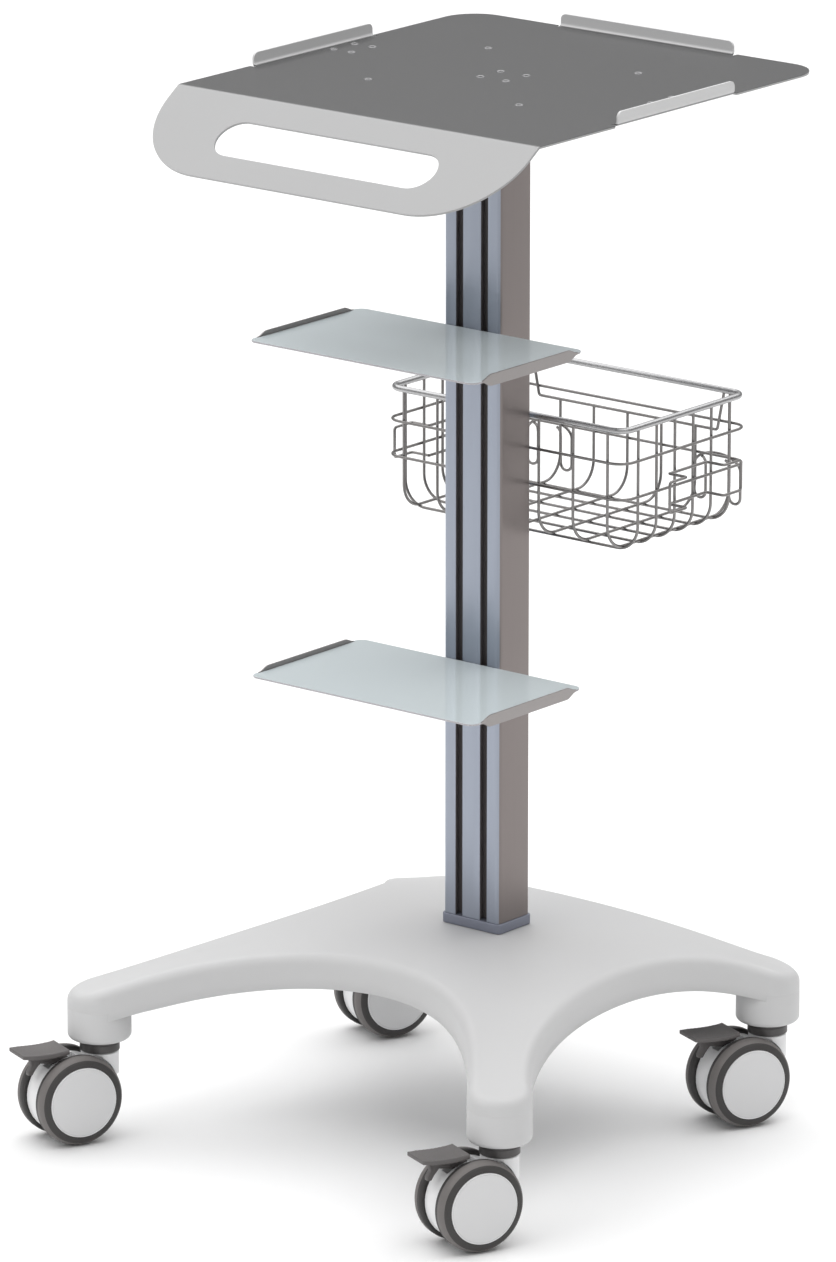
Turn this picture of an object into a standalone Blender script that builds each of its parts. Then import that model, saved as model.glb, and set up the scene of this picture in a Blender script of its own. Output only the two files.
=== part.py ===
"""Medical equipment trolley: four-caster base, slotted column, two shelves, wire basket, top platform.

Run with: blender --background --python part.py
Metres, +Z up. The user stands on the -Y side, the basket hangs on the +Y side.
"""
from math import atan2, cos, hypot, pi, radians, sin

import bmesh
import bpy
from mathutils import Matrix, Vector

# ---------------------------------------------------------------- driving dimensions
MM = 0.001
GAP = 0.3 * MM                      # clearance left between touching pieces

COLUMN_X = 14.5 * MM                # the column's axis in the object's frame
COLUMN_Y = 74.6 * MM

WHEEL_R = 50.0 * MM                 # 100 mm twin-wheel casters
CASTER_WIDTH = 72.0 * MM            # over both outer faces
HOUSING_HALF = 14.8 * MM            # half the width of the housing between the wheels
HUBCAP_R = 38.0 * MM
CASTER_TRAIL = 37.0 * MM
SWIVEL_AT_REST = radians(-23.0)
COLLAR_R = 22.0 * MM
COLLAR_Z = (99.0 * MM, 109.6 * MM)
STEM_R = 5.5 * MM
AXLE_R = 4.0 * MM

FRONT_STEM = (279.0 * MM, -327.0 * MM)      # from the column's axis; mirrored in X
BACK_STEM = (250.5 * MM, 181.0 * MM)
SOCKET_Z = 110.0 * MM
LEG_END_R = 35.0 * MM
LEG_END_TOP = 162.0 * MM
HUB_TOP = 216.0 * MM
FRONT_WAIST_Y = -178.0 * MM         # how far the arcs between the legs cut in
BACK_WAIST_Y = 160.0 * MM
SIDE_WAIST_X = 210.0 * MM
COVER_WALL = 3.5 * MM
COVER_DEPTH = 38.0 * MM             # from the cover's top down to its lower edge
COVER_RISE = 4.0 * MM               # how much less it is at a leg's end

COLUMN_W, COLUMN_D = 78.0 * MM, 55.0 * MM
COLUMN_CORNER = 5.5 * MM
SLOT_X = 17.0 * MM                  # T-slots lie at +X and -X of the column's middle
SLOT_OPENING = 9.5 * MM
SLOT_LIP = 2.5 * MM
SLOT_CHANNEL = 15.0 * MM
SLOT_DEPTH = 9.0 * MM
FOOT_PLATE = (82.0 * MM, 59.0 * MM, 11.0 * MM)

PLATFORM_W, PLATFORM_D = 490.0 * MM, 495.0 * MM
PLATFORM_Y = 26.0 * MM              # middle of the flat part, behind the column's axis
PLATFORM_TOP = 1159.0 * MM
PLATFORM_SHEET = 2.5 * MM
HANDLE_LENGTH = 122.0 * MM
HANDLE_DROP = radians(34.0)
LIP_HEIGHT = 14.0 * MM

SHELF_W, SHELF_D, SHELF_SHEET = 310.0 * MM, 190.0 * MM, 2.2 * MM
SHELF_TOPS = {"upper": 891.0 * MM, "lower": 518.0 * MM}
RAIL_T, RAIL_UP, RAIL_DOWN = 1.8 * MM, 5.0 * MM, 8.0 * MM

BASKET_W, BASKET_D, BASKET_H = 319.0 * MM, 217.0 * MM, 132.0 * MM
BASKET_RIM_Z = 789.0 * MM
BASKET_CORNER = 27.0 * MM
RIM_R, WIRE = 3.6 * MM, 3.2 * MM


# ---------------------------------------------------------------- scene helpers
def clear_scene():
    for obj in list(bpy.data.objects):
        bpy.data.objects.remove(obj, do_unlink=True)


def new_collection(name):
    coll = bpy.data.collections.new(name)
    bpy.context.scene.collection.children.link(coll)
    return coll


def material(name, rgb, roughness, metallic=0.0):
    mat = bpy.data.materials.new(name)
    mat.use_nodes = True
    shader = mat.node_tree.nodes["Principled BSDF"]
    shader.inputs["Base Color"].default_value = (*rgb, 1.0)
    shader.inputs["Roughness"].default_value = roughness
    shader.inputs["Metallic"].default_value = metallic
    return mat


clear_scene()
PARTS = new_collection("equipment_trolley")
SCRATCH = new_collection("working_shapes")

WHITE_SHELL = material("white_shell", (0.80, 0.80, 0.81), 0.42)
ANODISED = material("anodised_aluminium", (0.42, 0.45, 0.52), 0.34, 0.9)
FOOT_GREY = material("foot_grey", (0.20, 0.22, 0.27), 0.45, 0.4)
PLATFORM_PAINT = material("platform_paint", (0.55, 0.55, 0.56), 0.40, 0.2)
SHELF_GLOSS = material("shelf_gloss", (0.58, 0.64, 0.65), 0.08)
RAIL_METAL = material("rail_metal", (0.34, 0.32, 0.31), 0.32, 0.8)
STEEL = material("zinc_steel", (0.55, 0.56, 0.58), 0.32, 1.0)
WIRE_STEEL = material("basket_wire", (0.42, 0.41, 0.42), 0.28, 1.0)
TYRE = material("tyre_grey", (0.065, 0.062, 0.062), 0.62)
CASTER_WHITE = material("caster_white", (0.75, 0.75, 0.76), 0.38)
PEDAL_GREY = material("pedal_grey", (0.14, 0.13, 0.13), 0.55)


def link(name, mesh, mat, coll=PARTS, parent=None, location=(0, 0, 0), rotation=(0, 0, 0)):
    obj = bpy.data.objects.new(name, mesh)
    coll.objects.link(obj)
    obj.parent = parent
    obj.location = location
    obj.rotation_euler = rotation
    if mat is not None:
        mesh.materials.clear()
        mesh.materials.append(mat)
    return obj


def empty(name, parent=None, location=(0, 0, 0), rotation=(0, 0, 0)):
    obj = bpy.data.objects.new(name, None)
    PARTS.objects.link(obj)
    obj.parent = parent
    obj.location = location
    obj.rotation_euler = rotation
    return obj


def mesh_of(bm, name, smooth_angle=radians(35.0)):
    bmesh.ops.recalc_face_normals(bm, faces=bm.faces)
    mesh = bpy.data.meshes.new(name)
    bm.to_mesh(mesh)
    bm.free()
    mesh.shade_smooth()
    mesh.set_sharp_from_angle(angle=smooth_angle)
    return mesh


def evaluated_mesh(obj, name):
    """The object's mesh with its modifiers (or its curve) worked out and its caps welded."""
    bpy.context.view_layer.update()
    source = obj.evaluated_get(bpy.context.evaluated_depsgraph_get())
    mesh = bpy.data.meshes.new_from_object(source)
    bm = bmesh.new()
    bm.from_mesh(mesh)
    bpy.data.meshes.remove(mesh)
    bmesh.ops.remove_doubles(bm, verts=bm.verts, dist=0.01 * MM)
    return mesh_of(bm, name)


def combine(name, first, others, operation="UNION"):
    """Boolean of meshes that share one set of coordinates."""
    body = link("working_body", first, None, SCRATCH)
    tools = []
    for number, mesh in enumerate(others):
        tool = link("working_tool_%d" % number, mesh, None, SCRATCH)
        tool.hide_render = True
        tool.display_type = "WIRE"
        tools.append(tool)
        step = body.modifiers.new("step_%d" % number, "BOOLEAN")
        step.operation = operation
        step.object = tool
    mesh = evaluated_mesh(body, name)
    for obj in [body] + tools:
        bpy.data.objects.remove(obj, do_unlink=True)
    return mesh


# ---------------------------------------------------------------- shape helpers
def box(low, high):
    bm = bmesh.new()
    bmesh.ops.create_cube(bm, size=1.0)
    low, high = Vector(low), Vector(high)
    size = high - low
    bmesh.ops.scale(bm, vec=size, verts=bm.verts)
    bmesh.ops.translate(bm, vec=(low + high) / 2, verts=bm.verts)
    return mesh_of(bm, "box")


def cylinder(radius, z_low, z_high, centre=(0, 0), segments=32, axis="Z", radius_top=None):
    """A disc or rod; with axis X, z_low and z_high run along X and centre is (y, z)."""
    bm = bmesh.new()
    bmesh.ops.create_cone(bm, cap_ends=True, segments=segments, radius1=radius,
                          radius2=radius if radius_top is None else radius_top, depth=z_high - z_low)
    bmesh.ops.translate(bm, vec=(0, 0, (z_low + z_high) / 2), verts=bm.verts)
    if axis == "X":
        bmesh.ops.rotate(bm, cent=(0, 0, 0), matrix=Matrix.Rotation(pi / 2, 3, "Y"), verts=bm.verts)
        bmesh.ops.translate(bm, vec=(0, centre[0], centre[1]), verts=bm.verts)
    else:
        bmesh.ops.translate(bm, vec=(centre[0], centre[1], 0), verts=bm.verts)
    return mesh_of(bm, "cylinder")


def turned(name, profile, segments):
    """A body turned about Z; the profile runs down its outer side, top to bottom."""
    mesh = bpy.data.meshes.new(name)
    mesh.from_pydata([(r, 0, z) for r, z in profile], [(i, i + 1) for i in range(len(profile) - 1)], [])
    obj = link("working_profile", mesh, None, SCRATCH)
    screw = obj.modifiers.new("turn", "SCREW")
    screw.steps = screw.render_steps = segments
    screw.use_merge_vertices = True
    screw.merge_threshold = 0.05 * MM
    result = evaluated_mesh(obj, name)
    bpy.data.objects.remove(obj, do_unlink=True)
    return result


def arc(centre, radius, start, end, steps):
    """Points on a circle from angle start to angle end, both included."""
    return [(centre[0] + radius * cos(start + (end - start) * i / steps),
             centre[1] + radius * sin(start + (end - start) * i / steps)) for i in range(steps + 1)]


def rounded_rectangle(low, high, radius, steps=4):
    (x0, y0), (x1, y1) = low, high
    return (arc((x1 - radius, y0 + radius), radius, -pi / 2, 0, steps)
            + arc((x1 - radius, y1 - radius), radius, 0, pi / 2, steps)
            + arc((x0 + radius, y1 - radius), radius, pi / 2, pi, steps)
            + arc((x0 + radius, y0 + radius), radius, pi, 1.5 * pi, steps))


def extruded(name, outlines, z_low, z_high):
    """A flat outline with any holes, as a filled 2D curve given a thickness."""
    curve = bpy.data.curves.new(name, "CURVE")
    curve.dimensions = "2D"
    curve.fill_mode = "BOTH"
    curve.extrude = (z_high - z_low) / 2
    for outline in outlines:
        spline = curve.splines.new("POLY")
        spline.points.add(len(outline) - 1)
        for point, (x, y) in zip(spline.points, outline):
            point.co = (x, y, 0, 1)
        spline.use_cyclic_u = True
    obj = link("working_outline", curve, None, SCRATCH)
    mesh = evaluated_mesh(obj, name)
    bpy.data.objects.remove(obj, do_unlink=True)
    mesh.transform(Matrix.Translation((0, 0, (z_low + z_high) / 2)))
    return mesh


def fold_point(value, start, radius, angle):
    """Where a flat distance past a bend line goes: (distance along, rise)."""
    past = value - start
    if past <= 0:
        return value, 0.0
    turn = min(past / radius, angle)
    straight = max(0.0, past - radius * angle)
    return (start + radius * sin(turn) + straight * cos(angle),
            radius * (1 - cos(turn)) + straight * sin(angle))


def folded_sheet(name, outlines, folds, thickness, bend_steps=3):
    """A flat blank cut at its bend lines, folded, and given a thickness below its upper face.

    Each fold is (direction, start, radius, angle, sign, span): direction is (1, 0) for +X and so on, start
    is the distance of the bend line from the origin that way, sign is +1 for up or -1 for down, and span
    is the stretch of the bend line that is folded.
    """
    bm = bmesh.new()
    for outline in outlines:
        loop = [bm.verts.new((x, y, 0)) for x, y in outline]
        for i, vert in enumerate(loop):
            bm.edges.new((vert, loop[(i + 1) % len(loop)]))
    bmesh.ops.triangle_fill(bm, edges=bm.edges, use_beauty=True, use_dissolve=False, normal=(0, 0, 1))
    for (dx, dy), start, radius, angle, _, _ in folds:
        for step in range(bend_steps + 1):
            reach = start + radius * angle * step / bend_steps
            bmesh.ops.bisect_plane(bm, geom=bm.verts[:] + bm.edges[:] + bm.faces[:], dist=0.001 * MM,
                                   plane_co=(dx * reach, dy * reach, 0), plane_no=(dx, dy, 0))
    for vert in bm.verts:
        for (dx, dy), start, radius, angle, sign, (low, high) in folds:
            reach = vert.co.x * dx + vert.co.y * dy
            if not low < vert.co.x * abs(dy) + vert.co.y * abs(dx) < high:
                continue
            along, rise = fold_point(reach, start, radius, angle)
            vert.co.x += dx * (along - reach)
            vert.co.y += dy * (along - reach)
            vert.co.z += sign * rise
    mesh = bpy.data.meshes.new(name)
    bmesh.ops.recalc_face_normals(bm, faces=bm.faces)
    if sum(face.normal.z * face.calc_area() for face in bm.faces) < 0:
        bmesh.ops.reverse_faces(bm, faces=bm.faces)
    bm.to_mesh(mesh)
    bm.free()
    obj = link("working_sheet", mesh, None, SCRATCH)
    solid = obj.modifiers.new("sheet", "SOLIDIFY")
    solid.thickness = thickness
    solid.offset = -1.0
    solid.use_even_offset = True
    result = evaluated_mesh(obj, name)
    bpy.data.objects.remove(obj, do_unlink=True)
    return result


def moved(mesh, offset=(0, 0, 0), rotation=None):
    if rotation is not None:
        mesh.transform(rotation)
    mesh.transform(Matrix.Translation(offset))
    return mesh


# ---------------------------------------------------------------- base
def toward(start, target):
    length = hypot(target[0] - start[0], target[1] - start[1])
    return ((target[0] - start[0]) / length, (target[1] - start[1]) / length)


FRONT_AXIS = toward(FRONT_STEM, (0, 0))             # from a leg's end towards the hub
BACK_AXIS = toward(BACK_STEM, (0, -30 * MM))


def bezier(p0, p1, p2, p3, steps):
    """Points of a cubic curve, its two ends left out."""
    points = []
    for i in range(1, steps):
        t = i / steps
        s = 1 - t
        points.append(tuple(s**3 * a + 3 * s * s * t * b + 3 * s * t * t * c + t**3 * d
                            for a, b, c, d in zip(p0, p1, p2, p3)))
    return points


LEG_NECK = radians(5.0)             # the leg's end turns this far past a half circle on each side


def leg_end(stem, axis, steps=6):
    """The rounded end of one leg, as an arc that turns from its right side to its left side."""
    angle = atan2(axis[1], axis[0])
    return arc(stem, LEG_END_R, angle + pi / 2 - LEG_NECK, angle + 3 * pi / 2 + LEG_NECK, steps)


def turned_axis(axis, angle):
    return (axis[0] * cos(angle) - axis[1] * sin(angle), axis[0] * sin(angle) + axis[1] * cos(angle))


def base_outline(arc_steps=8):
    """The base's plan from the front right leg round to the right side arc, anticlockwise."""
    corners = [((FRONT_STEM[0], FRONT_STEM[1]), FRONT_AXIS),
               ((BACK_STEM[0], BACK_STEM[1]), BACK_AXIS),
               ((-BACK_STEM[0], BACK_STEM[1]), (-BACK_AXIS[0], BACK_AXIS[1])),
               ((-FRONT_STEM[0], FRONT_STEM[1]), (-FRONT_AXIS[0], FRONT_AXIS[1]))]
    waists = [(0, SIDE_WAIST_X), (1, BACK_WAIST_Y), (0, -SIDE_WAIST_X), (1, FRONT_WAIST_Y)]
    ends = [leg_end(stem, axis) for stem, axis in corners]
    points = []
    for i, (coord, waist) in enumerate(waists):
        start, finish = ends[i][-1], ends[(i + 1) % 4][0]
        out = turned_axis(corners[i][1], LEG_NECK)
        back = turned_axis(corners[(i + 1) % 4][1], -LEG_NECK)
        pull = (8 * waist - 4 * start[coord] - 4 * finish[coord]) / (3 * (out[coord] + back[coord]))
        points += ends[i]
        points += bezier(start, (start[0] + pull * out[0], start[1] + pull * out[1]),
                         (finish[0] + pull * back[0], finish[1] + pull * back[1]), finish, arc_steps)
    return points


def leg_reach(x, y):
    """How far out a point lies, as a share of the leg's whole length in that direction."""
    distance = hypot(x, y)
    if distance < 1 * MM:
        return 0.0
    front = hypot(*FRONT_STEM) + LEG_END_R
    back = hypot(*BACK_STEM) + LEG_END_R
    lowest, highest = FRONT_STEM[1] / hypot(*FRONT_STEM), BACK_STEM[1] / hypot(*BACK_STEM)
    share = min(1.0, max(0.0, (y / distance - lowest) / (highest - lowest)))
    return min(1.0, distance / (front + (back - front) * share))


def cover_top(x, y):
    return HUB_TOP - (HUB_TOP - LEG_END_TOP) * leg_reach(x, y) ** 2.6


def cover_low(x, y):
    """The lower edge follows the top, and comes nearer to it at the leg's end."""
    return cover_top(x, y) - COVER_DEPTH + COVER_RISE * max(0.0, leg_reach(x, y) - 0.8) / 0.2


def inset_loop(points, distance):
    """The closed outline moved inwards; the outline runs anticlockwise."""
    result = []
    count = len(points)
    for i, (x, y) in enumerate(points):
        before, after = Vector(points[i - 1]), Vector(points[(i + 1) % count])
        along = (after - before).normalized()
        result.append((x - along.y * distance, y + along.x * distance))
    return result


def build_base_cover(root):
    outline = base_outline()
    edge = 12 * MM                                          # radius of the rounded upper edge
    inner = inset_loop(outline, edge)
    rings = []
    hub_hole = 20.5 * MM
    for share in (0.0, 0.4, 0.75, 1.0):
        ring = []
        for x, y in inner:
            length = hypot(x, y)
            px = x / length * hub_hole * (1 - share) + x * share
            py = y / length * hub_hole * (1 - share) + y * share
            ring.append((px, py, cover_top(px, py)))
        rings.append(ring)
    for turn in (pi / 4, pi / 2):
        loop = inset_loop(outline, edge * (1 - sin(turn)))
        drop = edge * (1 - cos(turn))
        rings.append([(x, y, cover_top(*inner[i]) - drop) for i, (x, y) in enumerate(loop)])
    rings.append([(x, y, cover_low(x, y)) for x, y in outline])

    bm = bmesh.new()
    verts = [[bm.verts.new(point) for point in ring] for ring in rings]
    for inner_ring, outer_ring in zip(verts, verts[1:]):
        for i in range(len(inner_ring)):
            j = (i + 1) % len(inner_ring)
            bm.faces.new((inner_ring[i], outer_ring[i], outer_ring[j], inner_ring[j]))
    obj = link("working_cover", mesh_of(bm, "cover_surface"), None, SCRATCH)
    if obj.data.polygons[0].normal.z < 0:
        obj.data.flip_normals()
    wall = obj.modifiers.new("wall", "SOLIDIFY")
    wall.thickness = COVER_WALL
    wall.offset = -1.0
    shell = evaluated_mesh(obj, "shell")
    bpy.data.objects.remove(obj, do_unlink=True)

    sockets = []
    for x, y in stem_places():
        tube = turned("socket", [(LEG_END_R - 5 * MM, 150 * MM), (LEG_END_R - 1.2 * MM, 150 * MM),
                                 (LEG_END_R - 1.2 * MM, SOCKET_Z + 5 * MM),
                                 (LEG_END_R - 5 * MM, SOCKET_Z), (LEG_END_R - 11 * MM, SOCKET_Z),
                                 (LEG_END_R - 11 * MM, SOCKET_Z + 3 * MM),
                                 (LEG_END_R - 5 * MM, SOCKET_Z + 3 * MM),
                                 (LEG_END_R - 5 * MM, 150 * MM)], 20)
        sockets.append(moved(tube, (x, y, 0)))
    cover = combine("base_cover", shell, sockets)
    windows = [frame_arm(x, y, 2 * MM) for x, y in stem_places()]
    link("base_cover", combine("base_cover", cover, windows, "DIFFERENCE"), WHITE_SHELL, parent=root)


def stem_places():
    return [(FRONT_STEM[0], FRONT_STEM[1]), (-FRONT_STEM[0], FRONT_STEM[1]),
            (BACK_STEM[0], BACK_STEM[1]), (-BACK_STEM[0], BACK_STEM[1])]


FRAME_TOP = HUB_TOP - COVER_WALL - 1.2 * MM
BOSS_TOP = 156 * MM
BOLT_R = 5.0 * MM


ARM_DROP, ARM_HEIGHT, ARM_WIDTH = 10 * MM, 16 * MM, 30 * MM


def frame_arm(x, y, clearance=0.0):
    """One arm of the steel frame, bent to run close under the cover from the hub to a caster's boss."""
    length, inner, steps = hypot(x, y), 20 * MM, 8
    upper, lower = [], []
    for i in range(steps + 1):
        along = inner + (length - inner) * i / steps
        height = cover_top(x * along / length, y * along / length) - ARM_DROP
        upper.append((along, height + clearance / 2))
        lower.append((along, height - ARM_HEIGHT - clearance / 2))
    half = (ARM_WIDTH + clearance) / 2
    arm = extruded("frame_arm", [lower + list(reversed(upper))], -half, half)
    arm.transform(Matrix.Rotation(atan2(y, x), 4, "Z") @ Matrix.Rotation(pi / 2, 4, "X"))
    return arm


def build_base_frame(root):
    hub = cylinder(46 * MM, FRAME_TOP - 34 * MM, FRAME_TOP, segments=24)
    pieces = []
    for x, y in stem_places():
        pieces.append(frame_arm(x, y))
        pieces.append(cylinder(18 * MM, SOCKET_Z + 4 * MM, BOSS_TOP, (x, y), 16))
    frame = combine("base_frame", hub, pieces)
    bores = [cylinder(BOLT_R + GAP, 100 * MM, 260 * MM, segments=16)]
    for x, y in stem_places():
        bores.append(cylinder(STEM_R + GAP, 90 * MM, 200 * MM, (x, y), 12))
    link("base_frame", combine("base_frame", frame, bores, "DIFFERENCE"), STEEL, parent=root)


# ---------------------------------------------------------------- column
FOOT_LOW = HUB_TOP + GAP
COLUMN_LOW = FOOT_LOW + FOOT_PLATE[2] + GAP
HEAD_THICK = 5 * MM
PLATFORM_UNDER = PLATFORM_TOP - PLATFORM_SHEET
COLUMN_HIGH = PLATFORM_UNDER - 2 * GAP - HEAD_THICK
CHAMBER = (32 * MM, 28 * MM)        # the two hollow chambers inside the column, width and depth
CHAMBER_X = 17.5 * MM


def t_slot(side, face):
    """Points of one T-slot, walked in the direction of increasing X on the front face."""
    mouth, channel = SLOT_OPENING / 2, SLOT_CHANNEL / 2
    edge = -COLUMN_D / 2
    points = [(-mouth, edge), (-mouth, edge + SLOT_LIP), (-channel, edge + SLOT_LIP),
              (-channel, edge + SLOT_DEPTH), (channel, edge + SLOT_DEPTH), (channel, edge + SLOT_LIP),
              (mouth, edge + SLOT_LIP), (mouth, edge)]
    return [(face * (x + side * SLOT_X), face * y) for x, y in points]


def column_profile():
    w, d, r = COLUMN_W / 2, COLUMN_D / 2, COLUMN_CORNER
    return (t_slot(-1, 1) + t_slot(1, 1)
            + arc((w - r, -d + r), r, -pi / 2, 0, 3) + arc((w - r, d - r), r, 0, pi / 2, 3)
            + t_slot(-1, -1) + t_slot(1, -1)
            + arc((-w + r, d - r), r, pi / 2, pi, 3) + arc((-w + r, -d + r), r, pi, 1.5 * pi, 3))


def chamber(side, clearance=0.0):
    w, d = CHAMBER[0] / 2 - clearance, CHAMBER[1] / 2 - clearance
    x = side * CHAMBER_X
    return [(x - w, -d), (x + w, -d), (x + w, d), (x - w, d)]


def build_column(root):
    outlines = [column_profile(), chamber(-1), chamber(1)]
    link("column", extruded("column", outlines, COLUMN_LOW, COLUMN_HIGH), ANODISED, parent=root)

    width, depth, _ = FOOT_PLATE
    plate = extruded("foot", [rounded_rectangle((-width / 2, -depth / 2), (width / 2, depth / 2), 6.5 * MM)],
                     FOOT_LOW, COLUMN_LOW - GAP)
    spigot = cylinder(19 * MM, FRAME_TOP + GAP, FOOT_LOW + 2 * MM, segments=32)
    foot = combine("column_foot", plate, [spigot])
    bore = cylinder(BOLT_R + GAP, 200 * MM, 240 * MM, segments=16)
    link("column_foot", combine("column_foot", foot, [bore], "DIFFERENCE"), FOOT_GREY, parent=root)

    head = cylinder(9 * MM, FRAME_TOP - 34 * MM - 7 * MM, FRAME_TOP - 34 * MM - GAP, segments=6)
    shank = cylinder(BOLT_R, FRAME_TOP - 36 * MM, COLUMN_LOW - GAP, segments=16)
    link("column_tie_bolt", combine("column_tie_bolt", head, [shank]), STEEL, parent=root)

    top = extruded("head", [rounded_rectangle((-75 * MM, -55 * MM), (75 * MM, 55 * MM), 8 * MM)],
                   COLUMN_HIGH + GAP, COLUMN_HIGH + GAP + HEAD_THICK)
    plugs = [extruded("plug", [chamber(side, 0.5 * MM)], COLUMN_HIGH - 25 * MM, COLUMN_HIGH + 2 * MM)
             for side in (-1, 1)]
    link("column_head_plate", combine("column_head_plate", top, plugs), STEEL, parent=root)


# ---------------------------------------------------------------- platform
def platform_hole_places():
    """Insert holes: a 206 mm square, a 35 mm square, and four beside each side lip."""
    places = [(sx * half, sy * half) for half in (103 * MM, 17.5 * MM) for sx in (-1, 1) for sy in (-1, 1)]
    places += [(sx * x, y) for sx in (-1, 1) for x in (205 * MM, 230 * MM) for y in (-7 * MM, 29 * MM)]
    return places


INSERT_R = 3.0 * MM
LIP_BEND = 4.0 * MM
NOTCH = 4.0 * MM


def lip_edge(reach, start, end):
    """One bent-up lip seen along its side: (position along the side, distance out) pairs."""
    flat = LIP_BEND * pi / 2 + LIP_HEIGHT - LIP_BEND
    root_line = reach - LIP_BEND - PLATFORM_SHEET
    tip, r = root_line + flat, 6.5 * MM
    low, high = (start, end) if start < end else (end, start)
    points = [(low - NOTCH, reach), (low - NOTCH, root_line - 1 * MM), (low, root_line - 1 * MM)]
    points += arc((low + r, tip - r), r, pi, pi / 2, 3)
    points += arc((high - r, tip - r), r, pi / 2, 0, 3)
    points += [(high, root_line - 1 * MM), (high + NOTCH, root_line - 1 * MM), (high + NOTCH, reach)]
    return points


def lip_places():
    """Where the right, back and left lips start and end along their sides."""
    w, d = PLATFORM_W / 2, PLATFORM_D / 2
    return [(-d + 0.268 * 2 * d, -d + 0.675 * 2 * d), (-w + 0.267 * 2 * w, -w + 0.751 * 2 * w),
            (-d + 0.245 * 2 * d, -d + 0.652 * 2 * d)]


def platform_blank():
    w, d = PLATFORM_W / 2, PLATFORM_D / 2
    flange = HANDLE_LENGTH
    corner = 101 * MM
    back_corner = 42 * MM
    spans = lip_places()
    right = [(out, along) for along, out in lip_edge(w, *spans[0])]
    back = [(along, out) for along, out in lip_edge(d, *spans[1])]
    left = [(-out, along) for along, out in lip_edge(w, *spans[2])]
    outline = arc((w - corner, -d - flange + corner), corner, -pi / 2, 0, 8)
    outline += right
    outline += arc((w - back_corner, d - back_corner), back_corner, 0, pi / 2, 6)
    outline += list(reversed(back))
    outline += arc((-w + back_corner, d - back_corner), back_corner, pi / 2, pi, 6)
    outline += list(reversed(left))
    outline += arc((-w + corner, -d - flange + corner), corner, pi, 1.5 * pi, 8)
    return outline


def handle_slot():
    """The hand hole, a long hole with round ends, in the flat blank."""
    radius = 0.21 * HANDLE_LENGTH
    half = 0.30 * PLATFORM_W - radius
    y = -PLATFORM_D / 2 - 0.51 * HANDLE_LENGTH
    return arc((half, y), radius, -pi / 2, pi / 2, 6) + arc((-half, y), radius, pi / 2, 1.5 * pi, 6)


def build_platform(root):
    w, d = PLATFORM_W / 2, PLATFORM_D / 2
    outlines = [platform_blank(), handle_slot()]
    outlines += [arc(place, INSERT_R, 0, 2 * pi * 7 / 8, 7) for place in platform_hole_places()]
    bend = LIP_BEND
    start = bend + PLATFORM_SHEET
    spans = [(low - NOTCH / 2, high + NOTCH / 2) for low, high in lip_places()]
    folds = [((1, 0), w - start, bend, pi / 2, 1, spans[0]), ((0, 1), d - start, bend, pi / 2, 1, spans[1]),
             ((-1, 0), w - start, bend, pi / 2, 1, spans[2]),
             ((0, -1), d, 5 * MM, HANDLE_DROP, -1, (-2 * w, 2 * w))]
    sheet = folded_sheet("platform", outlines, folds, PLATFORM_SHEET)
    link("platform", sheet, PLATFORM_PAINT, parent=root, location=(0, PLATFORM_Y, PLATFORM_TOP))


# ---------------------------------------------------------------- brackets in the T-slots
def slot_nuts(z_low, z_high, back_plane):
    """The two sliding nuts of a bracket on the front face, joined to its back plane."""
    edge = -COLUMN_D / 2
    neck, head = SLOT_OPENING / 2 - 0.5 * MM, SLOT_CHANNEL / 2 - 0.6 * MM
    nuts = []
    for side in (-1, 1):
        x = side * SLOT_X
        nuts.append(box((x - neck, back_plane, z_low), (x + neck, edge + SLOT_LIP + 2 * MM, z_high)))
        nuts.append(box((x - head, edge + SLOT_LIP + 0.4 * MM, z_low),
                        (x + head, edge + SLOT_DEPTH - 1 * MM, z_high)))
    return nuts


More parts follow.
